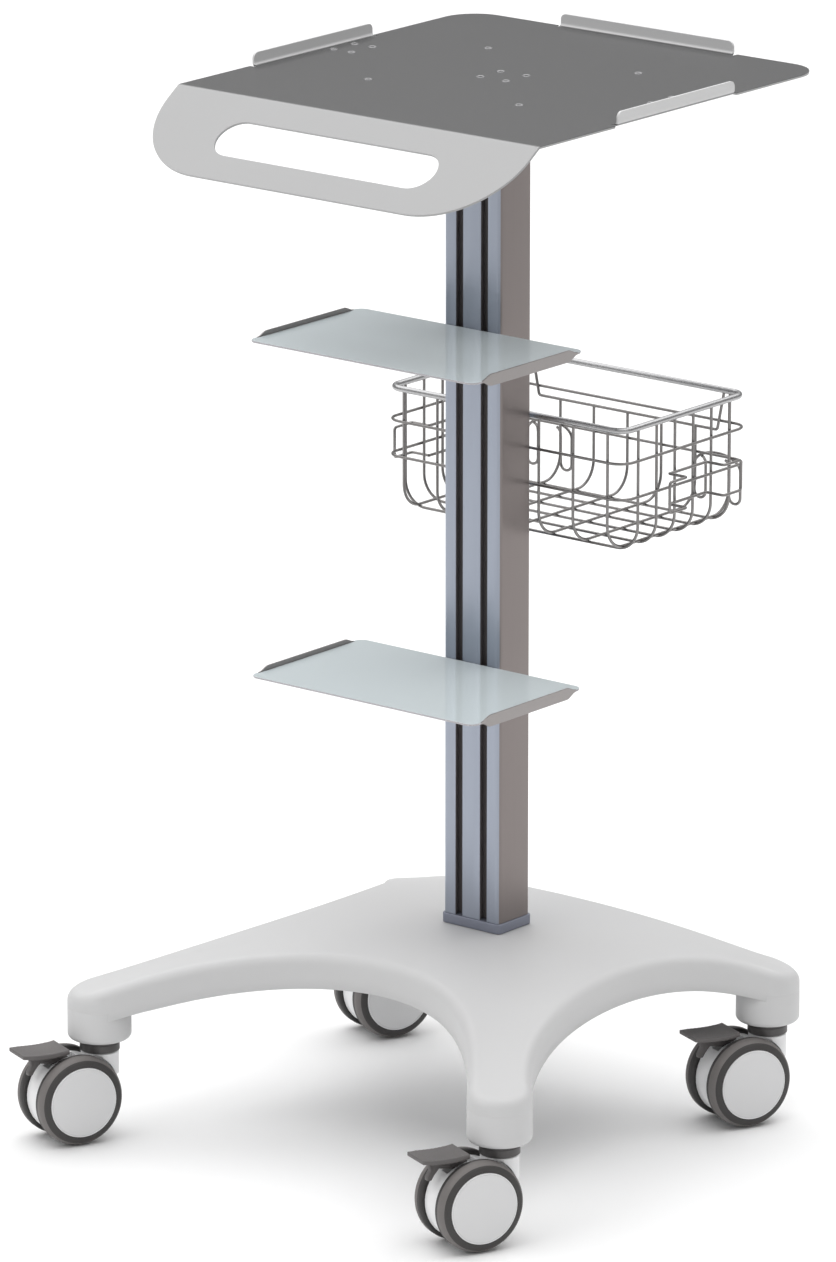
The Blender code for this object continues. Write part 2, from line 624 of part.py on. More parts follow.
def build_shelf(root, name, top):
    """A shelf: plate, two side rails and the bracket that clamps it to the column's front face."""
    carrier = empty(name + "_shelf", root, (0, 0, top))
    half, back = SHELF_W / 2, -COLUMN_D / 2 - 0.6 * MM
    front = back - SHELF_D
    recess, corner = RAIL_T + GAP, 11 * MM
    rail_front, rail_back = front + 15 * MM, back - 12 * MM
    outline = rounded_rectangle((-half, front), (half, back), corner)
    side = [(half, rail_front), (half - recess, rail_front), (half - recess, rail_back), (half, rail_back)]
    steps = len(outline) // 4
    outline = (outline[:steps] + side + outline[steps:3 * steps]
               + [(-x, y) for x, y in reversed(side)] + outline[3 * steps:])
    plate = extruded("shelf_plate", [outline], -SHELF_SHEET, 0)
    link(name + "_shelf_plate", plate, SHELF_GLOSS, parent=carrier)

    length = rail_back - rail_front - 2 * GAP
    taper = 16 * MM
    upper, lower = [], []
    for i in range(6):
        along = taper * i / 5
        swell = (1 - cos(pi * i / 5)) / 2
        upper.append((along, (RAIL_UP - 0.4 * MM) * swell + 0.4 * MM))
        lower.append((along, -SHELF_SHEET - (RAIL_DOWN - SHELF_SHEET) * swell))
    profile = lower + [(length - x, y) for x, y in reversed(lower)]
    profile += [(length - x, y) for x, y in upper] + list(reversed(upper))
    upright = Matrix.Rotation(pi / 2, 4, "Z") @ Matrix.Rotation(pi / 2, 4, "X")
    for side_name, sign in (("left", -1), ("right", 1)):
        rail = extruded("shelf_rail", [profile], -RAIL_T / 2, RAIL_T / 2)
        rail = moved(rail, (sign * (half - RAIL_T / 2), rail_front + GAP, 0), upright)
        link("%s_shelf_rail_%s" % (name, side_name), rail, RAIL_METAL, parent=carrier)

    plane = -COLUMN_D / 2 - GAP
    under = -SHELF_SHEET - GAP
    upright_flange = box((-32 * MM, plane - 3 * MM, under - 42 * MM), (32 * MM, plane, under))
    flat_flange = box((-32 * MM, plane - 75 * MM, under - 3 * MM), (32 * MM, plane - 1 * MM, under))
    rib = box((-2 * MM, plane - 40 * MM, under - 22 * MM), (2 * MM, plane - 1 * MM, under - 1 * MM))
    nuts = slot_nuts(under - 38 * MM, under - 8 * MM, plane - 1 * MM)
    bracket = combine("shelf_bracket", upright_flange, [flat_flange, rib] + nuts)
    link(name + "_shelf_bracket", bracket, STEEL, parent=carrier)


# ---------------------------------------------------------------- wire basket
def wire_positions(length, first, pitch):
    count = int((length - 2 * first) / pitch + 0.5)
    return [first + (length - 2 * first) * i / count for i in range(count + 1)]


def grille_outlines(across, up, crossing, levels):
    """A flat lattice of square wires: its outline and the holes between wires."""
    half = WIRE / 2
    outlines = [[(across[0] - half, up[0] - half), (across[-1] + half, up[0] - half),
                 (across[-1] + half, up[-1] + half), (across[0] - half, up[-1] + half)]]
    for x0, x1 in zip(crossing, crossing[1:]):
        for y0, y1 in zip(levels, levels[1:]):
            outlines.append([(x0 + half, y0 + half), (x1 - half, y0 + half),
                             (x1 - half, y1 - half), (x0 + half, y1 - half)])
    return outlines


def build_basket(root):
    carrier = empty("basket", root, (0, 0, BASKET_RIM_Z))
    front = COLUMN_D / 2 + 4.2 * MM
    back = front + BASKET_D
    half = BASKET_W / 2
    middle = (front + back) / 2

    curve = bpy.data.curves.new("basket_rim", "CURVE")
    curve.dimensions = "3D"
    curve.bevel_depth = RIM_R
    curve.bevel_resolution = 2
    loop = rounded_rectangle((-half + RIM_R, front + RIM_R), (half - RIM_R, back - RIM_R), BASKET_CORNER, 5)
    spline = curve.splines.new("POLY")
    spline.points.add(len(loop) - 1)
    for point, (x, y) in zip(spline.points, loop):
        point.co = (x, y, 0, 1)
    spline.use_cyclic_u = True
    rim = link("working_rim", curve, None, SCRATCH)
    link("basket_rim", evaluated_mesh(rim, "basket_rim"), WIRE_STEEL, parent=carrier)
    bpy.data.objects.remove(rim, do_unlink=True)

    bend = 28 * MM
    top = -RIM_R - GAP
    fall = BASKET_H + top - WIRE - bend                       # straight height of a side
    run = bend * pi / 2
    plan = {"front": (BASKET_W, 48 * MM), "back": (BASKET_W, 48 * MM),
            "left": (BASKET_D, 34 * MM), "right": (BASKET_D, 34 * MM)}
    inward = {"front": (0, front + RIM_R, 0), "back": (0, back - RIM_R, pi),
              "left": (-half + RIM_R, middle, -pi / 2), "right": (half - RIM_R, middle, pi / 2)}
    for side, (span, pitch) in plan.items():
        spread = [x - span / 2 for x in wire_positions(span, bend + 8 * MM, pitch)]
        levels = [-(fall + run), -fall * 0.78, -fall * 0.36, -WIRE / 2]
        outlines = grille_outlines((spread[0], spread[-1]), (levels[0], levels[-1]), spread, levels)
        folds = [((0, -1), fall, bend, pi / 2, 1, (-2 * span, 2 * span))]
        grille = folded_sheet("grille", outlines, folds, WIRE, bend_steps=2)
        x, y, turn = inward[side]
        stand = Matrix.Rotation(turn, 4, "Z") @ Matrix.Rotation(pi / 2, 4, "X") @ Matrix.Rotation(pi, 4, "Y")
        place = Matrix.Translation((x, y, top)) @ stand
        link("basket_%s_wires" % side, moved(grille, (0, 0, 0), place), WIRE_STEEL, parent=carrier)

    floor_x = [x - BASKET_W / 2 for x in wire_positions(BASKET_W, bend + 8 * MM, 48 * MM)]
    floor_y = [y - BASKET_D / 2 for y in wire_positions(BASKET_D, bend + 8 * MM, 34 * MM)]
    outlines = grille_outlines((floor_x[0], floor_x[-1]), (floor_y[0], floor_y[-1]), floor_x, floor_y)
    floor = extruded("basket_floor_wires", outlines, -BASKET_H, -BASKET_H + WIRE)
    link("basket_floor_wires", moved(floor, (0, middle, 0)), WIRE_STEEL, parent=carrier)

    plane = COLUMN_D / 2 + GAP
    plate = box((-30 * MM, -plane - 3 * MM, -70 * MM), (30 * MM, -plane, -8 * MM))
    bracket = combine("basket_bracket", plate, slot_nuts(-62 * MM, -16 * MM, -plane - 1 * MM))
    bracket.transform(Matrix.Rotation(pi, 4, "Z"))
    link("basket_bracket", bracket, STEEL, parent=carrier)


# ---------------------------------------------------------------- casters
PEDAL_PIVOT = (-40 * MM, 84 * MM)   # (y, z) in the caster's own frame, the hinge line runs along X
PEDAL_SLOT = 7.0 * MM               # half the width of the slot it swings in


def caster_meshes():
    """The meshes that all four casters share, in a frame with the swivel axis on Z, trailing to -Y."""
    hub = (-CASTER_TRAIL, WHEEL_R)
    wheel_inner = HOUSING_HALF + 0.5 * MM
    wheel_outer = CASTER_WIDTH / 2
    width = wheel_outer - wheel_inner
    meshes = {}

    shroud_half = HOUSING_HALF - 0.6 * MM
    shroud = cylinder(44 * MM, -shroud_half, shroud_half, hub, 30, "X")
    neck = cylinder(20 * MM, 68 * MM, COLLAR_Z[0] - GAP, segments=24)
    body = combine("housing", shroud, [neck])
    cuts = [cylinder(WHEEL_R + 1.4 * MM, HOUSING_HALF, HOUSING_HALF + 30 * MM, hub, 32, "X"),
            cylinder(WHEEL_R + 1.4 * MM, -HOUSING_HALF - 30 * MM, -HOUSING_HALF, hub, 32, "X"),
            cylinder(STEM_R - 1 * MM + GAP, 84 * MM, 120 * MM, segments=12),
            cylinder(AXLE_R + GAP, -40 * MM, 40 * MM, hub, 12, "X"),
            box((-PEDAL_SLOT, -66 * MM, 72 * MM), (PEDAL_SLOT, -31 * MM, 120 * MM))]
    meshes["housing"] = combine("caster_housing", body, cuts, "DIFFERENCE")

    meshes["collar"] = turned("caster_collar", [
        (STEM_R + GAP, COLLAR_Z[1]), (COLLAR_R - 1 * MM, COLLAR_Z[1]), (COLLAR_R, COLLAR_Z[1] - 1 * MM),
        (COLLAR_R, COLLAR_Z[0] + 1 * MM), (COLLAR_R - 1 * MM, COLLAR_Z[0]),
        (STEM_R + GAP, COLLAR_Z[0]), (STEM_R + GAP, COLLAR_Z[1])], 24)
    meshes["stem"] = turned("caster_stem", [
        (0, 148 * MM), (STEM_R - 1 * MM, 148 * MM), (STEM_R, 147 * MM), (STEM_R, COLLAR_Z[0] + 1 * MM),
        (STEM_R - 1 * MM, COLLAR_Z[0]), (STEM_R - 1 * MM, 85 * MM), (0, 85 * MM)], 12)

    tread = [(HUBCAP_R + GAP, 0), (WHEEL_R - 3 * MM, 0), (WHEEL_R, 4 * MM),
             (WHEEL_R, width - 7 * MM), (WHEEL_R - 1.8 * MM, width - 2.4 * MM),
             (WHEEL_R - 6 * MM, width), (HUBCAP_R + GAP, width), (HUBCAP_R + GAP, 0)]
    cap = [(AXLE_R + 4 * GAP, 0), (HUBCAP_R, 0), (HUBCAP_R, width - 1.5 * MM),
           (HUBCAP_R - 1.5 * MM, width), (0, width + 1 * MM),
           (0, width - 5 * MM), (AXLE_R + 4 * GAP, width - 5 * MM), (AXLE_R + 4 * GAP, 0)]
    meshes["tyre"] = turned("caster_tyre", list(reversed(tread)), 24)
    meshes["hub"] = turned("caster_hub", list(reversed(cap)), 24)

    axle_half = wheel_outer - 5.4 * MM
    meshes["axle"] = cylinder(AXLE_R, -axle_half, axle_half, hub, 12, "X")
    meshes["pedal"] = brake_pedal()
    return meshes


def brake_pedal():
    """A saddle-shaped tread over both wheels, with a web below it and an arm into the housing."""
    steps, half = 6, 21 * MM
    upper, lower = [], []
    for i in range(steps + 1):
        y = (-46 - 49 * i / steps) * MM
        sag = 6.0 * MM * sin(pi * i / steps) + 2.5 * MM * i / steps
        upper.append((y, 107.6 * MM - sag))
        lower.append((y, 104.2 * MM - sag + 1.6 * MM * i / steps))
    side = Matrix.Rotation(pi / 2, 4, "Z") @ Matrix.Rotation(pi / 2, 4, "X")
    tread = moved(extruded("tread", [upper + list(reversed(lower))], -half, half), (0, 0, 0), side)
    web_profile = [(-36 * MM, 80 * MM), (-46 * MM, 80 * MM), (-60 * MM, 95 * MM), (-80 * MM, 95.5 * MM),
                   (-82 * MM, 101 * MM), (-62 * MM, 100.5 * MM), (-50 * MM, 104 * MM),
                   (-46.5 * MM, 105.5 * MM),
                   (-42 * MM, 97 * MM), (-36 * MM, 90 * MM)]
    web = moved(extruded("web", [web_profile], -4 * MM, 4 * MM), (0, 0, 0), side)
    return combine("brake_pedal", tread, [web])


def build_casters(root):
    meshes = caster_meshes()
    hub = (-CASTER_TRAIL, WHEEL_R)
    wheel_inner = HOUSING_HALF + 0.5 * MM
    names = ("front_right", "front_left", "back_right", "back_left")
    for name, (x, y) in zip(names, stem_places()):
        swivel = empty(name + "_caster", root, (x, y, 0), (0, 0, SWIVEL_AT_REST))
        link(name + "_caster_stem", meshes["stem"], STEEL, parent=swivel)
        link(name + "_caster_collar", meshes["collar"], PEDAL_GREY, parent=swivel)
        link(name + "_caster_housing", meshes["housing"], CASTER_WHITE, parent=swivel)
        link(name + "_caster_axle", meshes["axle"], STEEL, parent=swivel)
        link(name + "_brake_pedal", meshes["pedal"], PEDAL_GREY, parent=swivel)
        for side, sign in (("inner", -1), ("outer", 1)):
            spin = empty("%s_%s_wheel" % (name, side), swivel,
                         (sign * wheel_inner, *hub), (0, sign * pi / 2, 0))
            link("%s_%s_tyre" % (name, side), meshes["tyre"], TYRE, parent=spin)
            link("%s_%s_wheel_hub" % (name, side), meshes["hub"], CASTER_WHITE, parent=spin)


def main():
    root = empty("trolley", None, (COLUMN_X, COLUMN_Y, 0))
    build_base_cover(root)
    build_base_frame(root)
    build_column(root)
    build_platform(root)
    for name, top in SHELF_TOPS.items():
        build_shelf(root, name, top)
    build_basket(root)
    build_casters(root)
    bpy.data.collections.remove(SCRATCH)


main()
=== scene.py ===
"""The looks of the medical equipment trolley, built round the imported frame."""
from math import atan2, cos, hypot, pi, radians, sin

import bmesh
import bpy
from mathutils import Matrix, Vector

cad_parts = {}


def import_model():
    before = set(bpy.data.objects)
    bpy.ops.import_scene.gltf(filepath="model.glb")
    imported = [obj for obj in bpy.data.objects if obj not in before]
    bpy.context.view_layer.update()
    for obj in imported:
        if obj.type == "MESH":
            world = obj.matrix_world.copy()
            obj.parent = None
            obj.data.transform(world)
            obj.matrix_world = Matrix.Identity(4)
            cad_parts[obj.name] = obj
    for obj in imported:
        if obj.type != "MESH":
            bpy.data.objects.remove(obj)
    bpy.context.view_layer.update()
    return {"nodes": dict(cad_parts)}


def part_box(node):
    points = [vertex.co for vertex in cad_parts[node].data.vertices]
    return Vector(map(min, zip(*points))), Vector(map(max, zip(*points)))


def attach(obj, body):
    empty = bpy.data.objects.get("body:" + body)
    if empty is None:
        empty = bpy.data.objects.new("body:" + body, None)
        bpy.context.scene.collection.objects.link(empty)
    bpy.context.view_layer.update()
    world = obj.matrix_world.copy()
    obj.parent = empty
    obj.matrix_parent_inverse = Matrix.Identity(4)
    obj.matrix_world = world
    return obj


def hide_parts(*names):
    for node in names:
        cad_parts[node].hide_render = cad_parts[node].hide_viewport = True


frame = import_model()

MM = 0.001
SCENE = bpy.context.scene


def middle(node):
    low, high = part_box(node)
    return (low + high) / 2


CX, CY = middle("column").x, middle("column").y     # the column's axis
CASTERS = ("front_right", "front_left", "back_right", "back_left")
STEMS = {name: middle(name + "_caster_stem") for name in CASTERS}


# ---------------------------------------------------------------- materials
def finish(name, colour, roughness, metallic=0.0, mottle=0.05, patch=9.0, grain=(900, 900, 900),
           grain_rough=0.06, bump=0.12, depth=0.00015, **sockets):
    """A surface with slow colour patches, a fine grain in its gloss and a fine bump."""
    mat = bpy.data.materials.new(name)
    mat.use_nodes = True
    tree = mat.node_tree
    shader = tree.nodes["Principled BSDF"]
    shader.inputs["Metallic"].default_value = metallic
    for socket, value in sockets.items():
        shader.inputs[socket.replace("_", " ")].default_value = value
    place = tree.nodes.new("ShaderNodeTexCoord")

    slow = tree.nodes.new("ShaderNodeTexNoise")
    slow.inputs["Scale"].default_value = patch
    slow.inputs["Detail"].default_value = 5.0
    tree.links.new(place.outputs["Object"], slow.inputs["Vector"])
    mix = tree.nodes.new("ShaderNodeMix")
    mix.data_type = "RGBA"
    mix.inputs[6].default_value = (*[c * (1 - mottle) for c in colour], 1)
    mix.inputs[7].default_value = (*[min(1.0, c * (1 + mottle)) for c in colour], 1)
    tree.links.new(slow.outputs["Fac"], mix.inputs[0])
    tree.links.new(mix.outputs[2], shader.inputs["Base Color"])

    stretch = tree.nodes.new("ShaderNodeMapping")
    stretch.inputs["Scale"].default_value = grain
    tree.links.new(place.outputs["Object"], stretch.inputs["Vector"])
    fine = tree.nodes.new("ShaderNodeTexNoise")
    fine.inputs["Scale"].default_value = 1.0
    fine.inputs["Detail"].default_value = 3.0
    tree.links.new(stretch.outputs["Vector"], fine.inputs["Vector"])
    span = tree.nodes.new("ShaderNodeMapRange")
    span.inputs["From Min"].default_value = 0.25
    span.inputs["From Max"].default_value = 0.75
    span.inputs["To Min"].default_value = max(0.02, roughness - grain_rough)
    span.inputs["To Max"].default_value = roughness + grain_rough
    tree.links.new(fine.outputs["Fac"], span.inputs["Value"])
    tree.links.new(span.outputs["Result"], shader.inputs["Roughness"])
    relief = tree.nodes.new("ShaderNodeBump")
    relief.inputs["Strength"].default_value = bump
    relief.inputs["Distance"].default_value = depth
    tree.links.new(fine.outputs["Fac"], relief.inputs["Height"])
    tree.links.new(relief.outputs["Normal"], shader.inputs["Normal"])
    return mat


def step_node(tree, source, start, end, low=0.0, high=1.0):
    node = tree.nodes.new("ShaderNodeMapRange")
    node.interpolation_type = "SMOOTHSTEP"
    node.inputs["From Min"].default_value = start
    node.inputs["From Max"].default_value = end
    node.inputs["To Min"].default_value = low
    node.inputs["To Max"].default_value = high
    tree.links.new(source, node.inputs["Value"])
    return node.outputs["Result"]


def times(tree, first, second):
    node = tree.nodes.new("ShaderNodeMath")
    node.operation = "MULTIPLY"
    tree.links.new(first, node.inputs[0])
    tree.links.new(second, node.inputs[1])
    return node.outputs[0]


WHITE_SHELL = finish("white_shell", (0.60, 0.60, 0.602), 0.5, mottle=0.012, grain=(1300, 1300, 1300),
                     bump=0.10)
ANODISED = finish("anodised_front", (0.345, 0.375, 0.44), 0.34, 0.85, mottle=0.03, patch=5.0,
                  grain=(1500, 1500, 9), grain_rough=0.07, bump=0.10, depth=0.0001, Anisotropic=0.4)
# painted shade: the blue anodising painted darker and warmer for the column's side faces, for how light falls
# on the sides
ANODISED_SIDE_PAINTED_SHADE = finish("anodised_side_painted_shade", (0.235, 0.207, 0.2), 0.34, 0.80, mottle=0.03, patch=5.0,
                       grain=(1500, 1500, 9), grain_rough=0.06, bump=0.08, depth=0.0001, Anisotropic=0.4)
# painted shade: the slots' channels painted dark where little light gets in
SLOT_PAINTED_SHADE = finish("anodised_slot_painted_shade", (0.17, 0.155, 0.157), 0.5, 0.2, mottle=0.05, grain=(1200, 1200, 20))
FOOT_PAINT = finish("foot_paint", (0.24, 0.255, 0.315), 0.42, 0.35, mottle=0.04, bump=0.15)
GLOSS = {"mottle": 0.012, "patch": 4.0, "grain": (260, 260, 260), "grain_rough": 0.015, "bump": 0.02,
         "depth": 0.00005, "Specular_IOR_Level": 0.4}
# the upper shelf's gloss is the lower one painted lighter: painted light against the shadow the platform
# casts on it
SHELF_GLOSS_AND_PAINTED_LIGHT = {"upper": finish("upper_shelf_gloss_painted_light", (0.74, 0.815, 0.84), 0.05, **GLOSS),
               "lower": finish("lower_shelf_gloss", (0.61, 0.675, 0.695), 0.05, **GLOSS)}
SHELF_EDGE = finish("shelf_edge", (0.45, 0.44, 0.46), 0.25, 0.3, mottle=0.03)
RAIL_METAL = finish("rail_metal", (0.33, 0.31, 0.305), 0.34, 0.7, mottle=0.04, grain=(900, 12, 900))
INSERT_STEEL = finish("insert_steel", (0.30, 0.30, 0.305), 0.30, 0.9, mottle=0.08, patch=200.0)
ZINC = finish("zinc_steel", (0.50, 0.51, 0.53), 0.34, 0.95, mottle=0.10, patch=60.0, bump=0.15)
WIRE_STEEL = finish("basket_wire", (0.25, 0.24, 0.236), 0.32, 0.92, mottle=0.08, patch=40.0,
                    grain=(500, 500, 500), bump=0.08)
RIM_STEEL = finish("basket_rim_steel", (0.44, 0.44, 0.445), 0.30, 0.92, mottle=0.06, patch=30.0,
                   grain=(500, 500, 500), bump=0.06)
TYRE = finish("tyre_grey", (0.046, 0.043, 0.042), 0.55, mottle=0.14, patch=45.0, grain=(700, 700, 700),
              grain_rough=0.08, bump=0.25, depth=0.0002)
# painted light: the tyre's tread band painted lighter than the sidewalls, as the lit face of the same rubber
TREAD_PAINTED_LIGHT = finish("tread_painted_light", (0.17, 0.158, 0.153), 0.6, mottle=0.14, patch=45.0, grain=(700, 700, 700),
               grain_rough=0.08, bump=0.25, depth=0.0002)
CAP_WHITE = finish("caster_white", (0.71, 0.71, 0.715), 0.36, mottle=0.012, grain=(1500, 1500, 1500),
                   bump=0.06)
CAP_RIM = finish("cap_rim", (0.86, 0.86, 0.865), 0.34, mottle=0.012, grain=(1500, 1500, 1500), bump=0.05)
HOUSING_WHITE = finish("housing_white", (0.86, 0.86, 0.865), 0.38, mottle=0.012, grain=(1300, 1300, 1300),
                       bump=0.08)
# dark core of the wheel caps; also painted shade inside the platform inserts' bores
HUB_CORE_AND_BORE_SHADE = finish("hub_core_and_bore_shade", (0.040, 0.040, 0.042), 0.5, mottle=0.08, patch=30.0, bump=0.15)
PEDAL_GREY = finish("pedal_grey", (0.120, 0.112, 0.110), 0.52, mottle=0.08, patch=40.0, grain=(900, 900, 900),
                    grain_rough=0.08, bump=0.3, depth=0.0002)
RING_GREY = finish("collar_grey", (0.085, 0.081, 0.080), 0.40, 0.2, mottle=0.06, patch=40.0)


# ---------------------------------------------------------------- meshes
SMOOTH_BELOW = radians(38)
STAND_UP = Matrix.Rotation(pi / 2, 4, "Z") @ Matrix.Rotation(pi / 2, 4, "X")    # a drawing's plane becomes YZ


def shaded(mesh, angle=SMOOTH_BELOW):
    mesh.shade_smooth()
    mesh.set_sharp_from_angle(angle=angle)
    return mesh


def lofted(name, rings, start_cap=False, end_cap=False, closed=True, angle=SMOOTH_BELOW):
    """Quads between rings of equal count; a cap is one face across a ring."""
    bm = bmesh.new()
    rows = [[bm.verts.new(point) for point in ring] for ring in rings]
    count = len(rows[0])
    for low, high in zip(rows, rows[1:]):
        for i in range(count if closed else count - 1):
            j = (i + 1) % count
            bm.faces.new((low[i], low[j], high[j], high[i]))
    if start_cap:
        bm.faces.new(list(reversed(rows[0])))
    if end_cap:
        bm.faces.new(rows[-1])
    bmesh.ops.recalc_face_normals(bm, faces=bm.faces)
    mesh = bpy.data.meshes.new(name)
    bm.to_mesh(mesh)
    bm.free()
    return shaded(mesh, angle)


def revolved(name, profile, segments, angle=SMOOTH_BELOW):
    """A closed profile of (radius, z, material number) turned about Z; points on the axis are merged."""
    bm = bmesh.new()
    rows = []
    for radius, z, _ in profile:
        turns = [2 * pi * i / segments for i in range(segments)]
        rows.append([bm.verts.new((radius * cos(turn), radius * sin(turn), z)) for turn in turns])
    for row, (low, high) in enumerate(zip(rows, rows[1:])):
        for i in range(segments):
            j = (i + 1) % segments
            face = bm.faces.new((low[i], low[j], high[j], high[i]))
            face.material_index = profile[row][2]
    bmesh.ops.remove_doubles(bm, verts=bm.verts, dist=0.002 * MM)
    bmesh.ops.recalc_face_normals(bm, faces=bm.faces)
    mesh = bpy.data.meshes.new(name)
    bm.to_mesh(mesh)
    bm.free()
    return shaded(mesh, angle)


def arc(centre, radius, start, end, steps):
    return [(centre[0] + radius * cos(start + (end - start) * i / steps),
             centre[1] + radius * sin(start + (end - start) * i / steps)) for i in range(steps + 1)]


def rounded_rectangle(low, high, radius, steps=10):
    (x0, y0), (x1, y1) = low, high
    return (arc((x1 - radius, y0 + radius), radius, -pi / 2, 0, steps)
            + arc((x1 - radius, y1 - radius), radius, 0, pi / 2, steps)
            + arc((x0 + radius, y1 - radius), radius, pi / 2, pi, steps)
            + arc((x0 + radius, y0 + radius), radius, pi, 1.5 * pi, steps))


def inset(points, distance):
    """A closed anticlockwise outline moved inwards."""
    result = []
    for i, (x, y) in enumerate(points):
        before, after = Vector(points[i - 1]), Vector(points[(i + 1) % len(points)])
        along = (after - before).normalized()
        result.append((x - along.y * distance, y + along.x * distance))
    return result


def slab(name, outline, z_low, z_high, edge, steps=3):
    """A plate with rounded edges, from an anticlockwise outline."""
    lower = []
    for i in range(steps + 1):
        turn = i / steps * pi / 2
        loop = inset(outline, edge * (1 - sin(turn)))
        lower.append([(x, y, z_low + edge * (1 - cos(turn))) for x, y in loop])
    upper = [[(x, y, z_low + z_high - z) for x, y, z in ring] for ring in reversed(lower)]
    return lofted(name, lower + upper, True, True)


def add(name, mesh, materials, body, replaced=(), matrix=None):
    """Links a piece at its place, gives it its materials and makes it ride on its body."""
    obj = bpy.data.objects.new(name, mesh)
    SCENE.collection.objects.link(obj)
    if matrix is not None:
        obj.matrix_world = matrix
    if not mesh.materials:
        for mat in materials:
            mesh.materials.append(mat)
    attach(obj, body)
    if replaced:
        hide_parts(*replaced)
    return obj


def baked(name, mesh, modifiers):
    """The mesh after some modifiers, each given as (kind, settings)."""
    obj = bpy.data.objects.new("working", mesh)
    SCENE.collection.objects.link(obj)
    for kind, settings in modifiers:
        step = obj.modifiers.new(kind.lower(), kind)
        for key, value in settings.items():
            setattr(step, key, value)
    bpy.context.view_layer.update()
    result = bpy.data.meshes.new_from_object(obj.evaluated_get(bpy.context.evaluated_depsgraph_get()))
    result.name = name
    bpy.data.objects.remove(obj, do_unlink=True)
    return result


BEVEL = ("BEVEL", {"width": 0.45 * MM, "segments": 2, "limit_method": "ANGLE", "angle_limit": radians(50)})
FLAT_NORMALS = ("WEIGHTED_NORMAL", {"keep_sharp": False, "weight": 80})


def prism(name, outline, z_low, z_high, bevel=0.45 * MM):
    """A straight extrusion of any simple outline, its edges softened."""
    rings = [[(x, y, z) for x, y in outline] for z in (z_low, z_high)]
    mesh = lofted(name, rings, True, True)
    kind, settings = BEVEL
    return baked(name, mesh, [(kind, dict(settings, width=bevel)), FLAT_NORMALS])


def wires(name, paths, radius, mat, body, replaced=(), sides=3):
    """Round wires: each path is (points, closed)."""
    curve = bpy.data.curves.new(name, "CURVE")
    curve.dimensions = "3D"
    curve.bevel_depth = radius
    curve.bevel_resolution = sides
    curve.use_fill_caps = True
    for points, closed in paths:
        spline = curve.splines.new("POLY")
        spline.points.add(len(points) - 1)
        for point, place in zip(spline.points, points):
            point.co = (*place, 1)
        spline.use_cyclic_u = closed
        spline.use_smooth = True
    obj = bpy.data.objects.new(name, curve)
    SCENE.collection.objects.link(obj)
    bpy.context.view_layer.update()
    mesh = bpy.data.meshes.new_from_object(obj.evaluated_get(bpy.context.evaluated_depsgraph_get()))
    bpy.data.objects.remove(obj, do_unlink=True)
    mesh.name = name
    mesh.materials.clear()
    return add(name, shaded(mesh, radians(50)), [mat], body, replaced)


# ---------------------------------------------------------------- base cover
LEG_END_R, LEG_END_TOP, HUB_TOP = 35 * MM, 162 * MM, 216 * MM
LEG_NECK = radians(5)
SOCKET_Z, SOCKET_TOP, SOCKET_MOUTH_R = 110 * MM, 152 * MM, 23.2 * MM
HUB_HOLE_R = 20.5 * MM
COVER_EDGE = 13 * MM                # radius of the cover's upper edge
COVER_DEPTH, COVER_RISE, COVER_WALL = 38 * MM, 4 * MM, 3.5 * MM
FRONT_WAIST_Y, BACK_WAIST_Y, SIDE_WAIST_X = -178 * MM, 160 * MM, 210 * MM
FRONT_STEM = (STEMS["front_right"].x - CX, STEMS["front_right"].y - CY)
BACK_STEM = (STEMS["back_right"].x - CX, STEMS["back_right"].y - CY)


def turned_axis(axis, angle):
    return (axis[0] * cos(angle) - axis[1] * sin(angle), axis[0] * sin(angle) + axis[1] * cos(angle))


def toward(start, target):
    length = hypot(target[0] - start[0], target[1] - start[1])
    return ((target[0] - start[0]) / length, (target[1] - start[1]) / length)


def bezier(p0, p1, p2, p3, steps):
    points = []
    for i in range(1, steps):
        t = i / steps
        s = 1 - t
        points.append(tuple(s**3 * a + 3 * s * s * t * b + 3 * s * t * t * c + t**3 * d
                            for a, b, c, d in zip(p0, p1, p2, p3)))
    return points


def base_outline(end_steps=28, arc_steps=40):
    front_axis, back_axis = toward(FRONT_STEM, (0, 0)), toward(BACK_STEM, (0, -30 * MM))
    corners = [(FRONT_STEM, front_axis), (BACK_STEM, back_axis),
               ((-BACK_STEM[0], BACK_STEM[1]), (-back_axis[0], back_axis[1])),
               ((-FRONT_STEM[0], FRONT_STEM[1]), (-front_axis[0], front_axis[1]))]
    waists = [(0, SIDE_WAIST_X), (1, BACK_WAIST_Y), (0, -SIDE_WAIST_X), (1, FRONT_WAIST_Y)]
    ends = []
    for stem, axis in corners:
        angle = atan2(axis[1], axis[0])
        ends.append(arc(stem, LEG_END_R, angle + pi / 2 - LEG_NECK, angle + 3 * pi / 2 + LEG_NECK, end_steps))
    points = []
    for i, (coord, waist) in enumerate(waists):
        start, last = ends[i][-1], ends[(i + 1) % 4][0]
        out = turned_axis(corners[i][1], LEG_NECK)
        back = turned_axis(corners[(i + 1) % 4][1], -LEG_NECK)
        pull = (8 * waist - 4 * start[coord] - 4 * last[coord]) / (3 * (out[coord] + back[coord]))
        points += ends[i]
        points += bezier(start, (start[0] + pull * out[0], start[1] + pull * out[1]),
                         (last[0] + pull * back[0], last[1] + pull * back[1]), last, arc_steps)
    return points


def leg_reach(x, y):
    distance = hypot(x, y)
    if distance < 1 * MM:
        return 0.0
    front = hypot(*FRONT_STEM) + LEG_END_R
    back = hypot(*BACK_STEM) + LEG_END_R
    lowest, highest = FRONT_STEM[1] / hypot(*FRONT_STEM), BACK_STEM[1] / hypot(*BACK_STEM)
    share = min(1.0, max(0.0, (y / distance - lowest) / (highest - lowest)))
    return min(1.0, distance / (front + (back - front) * share))


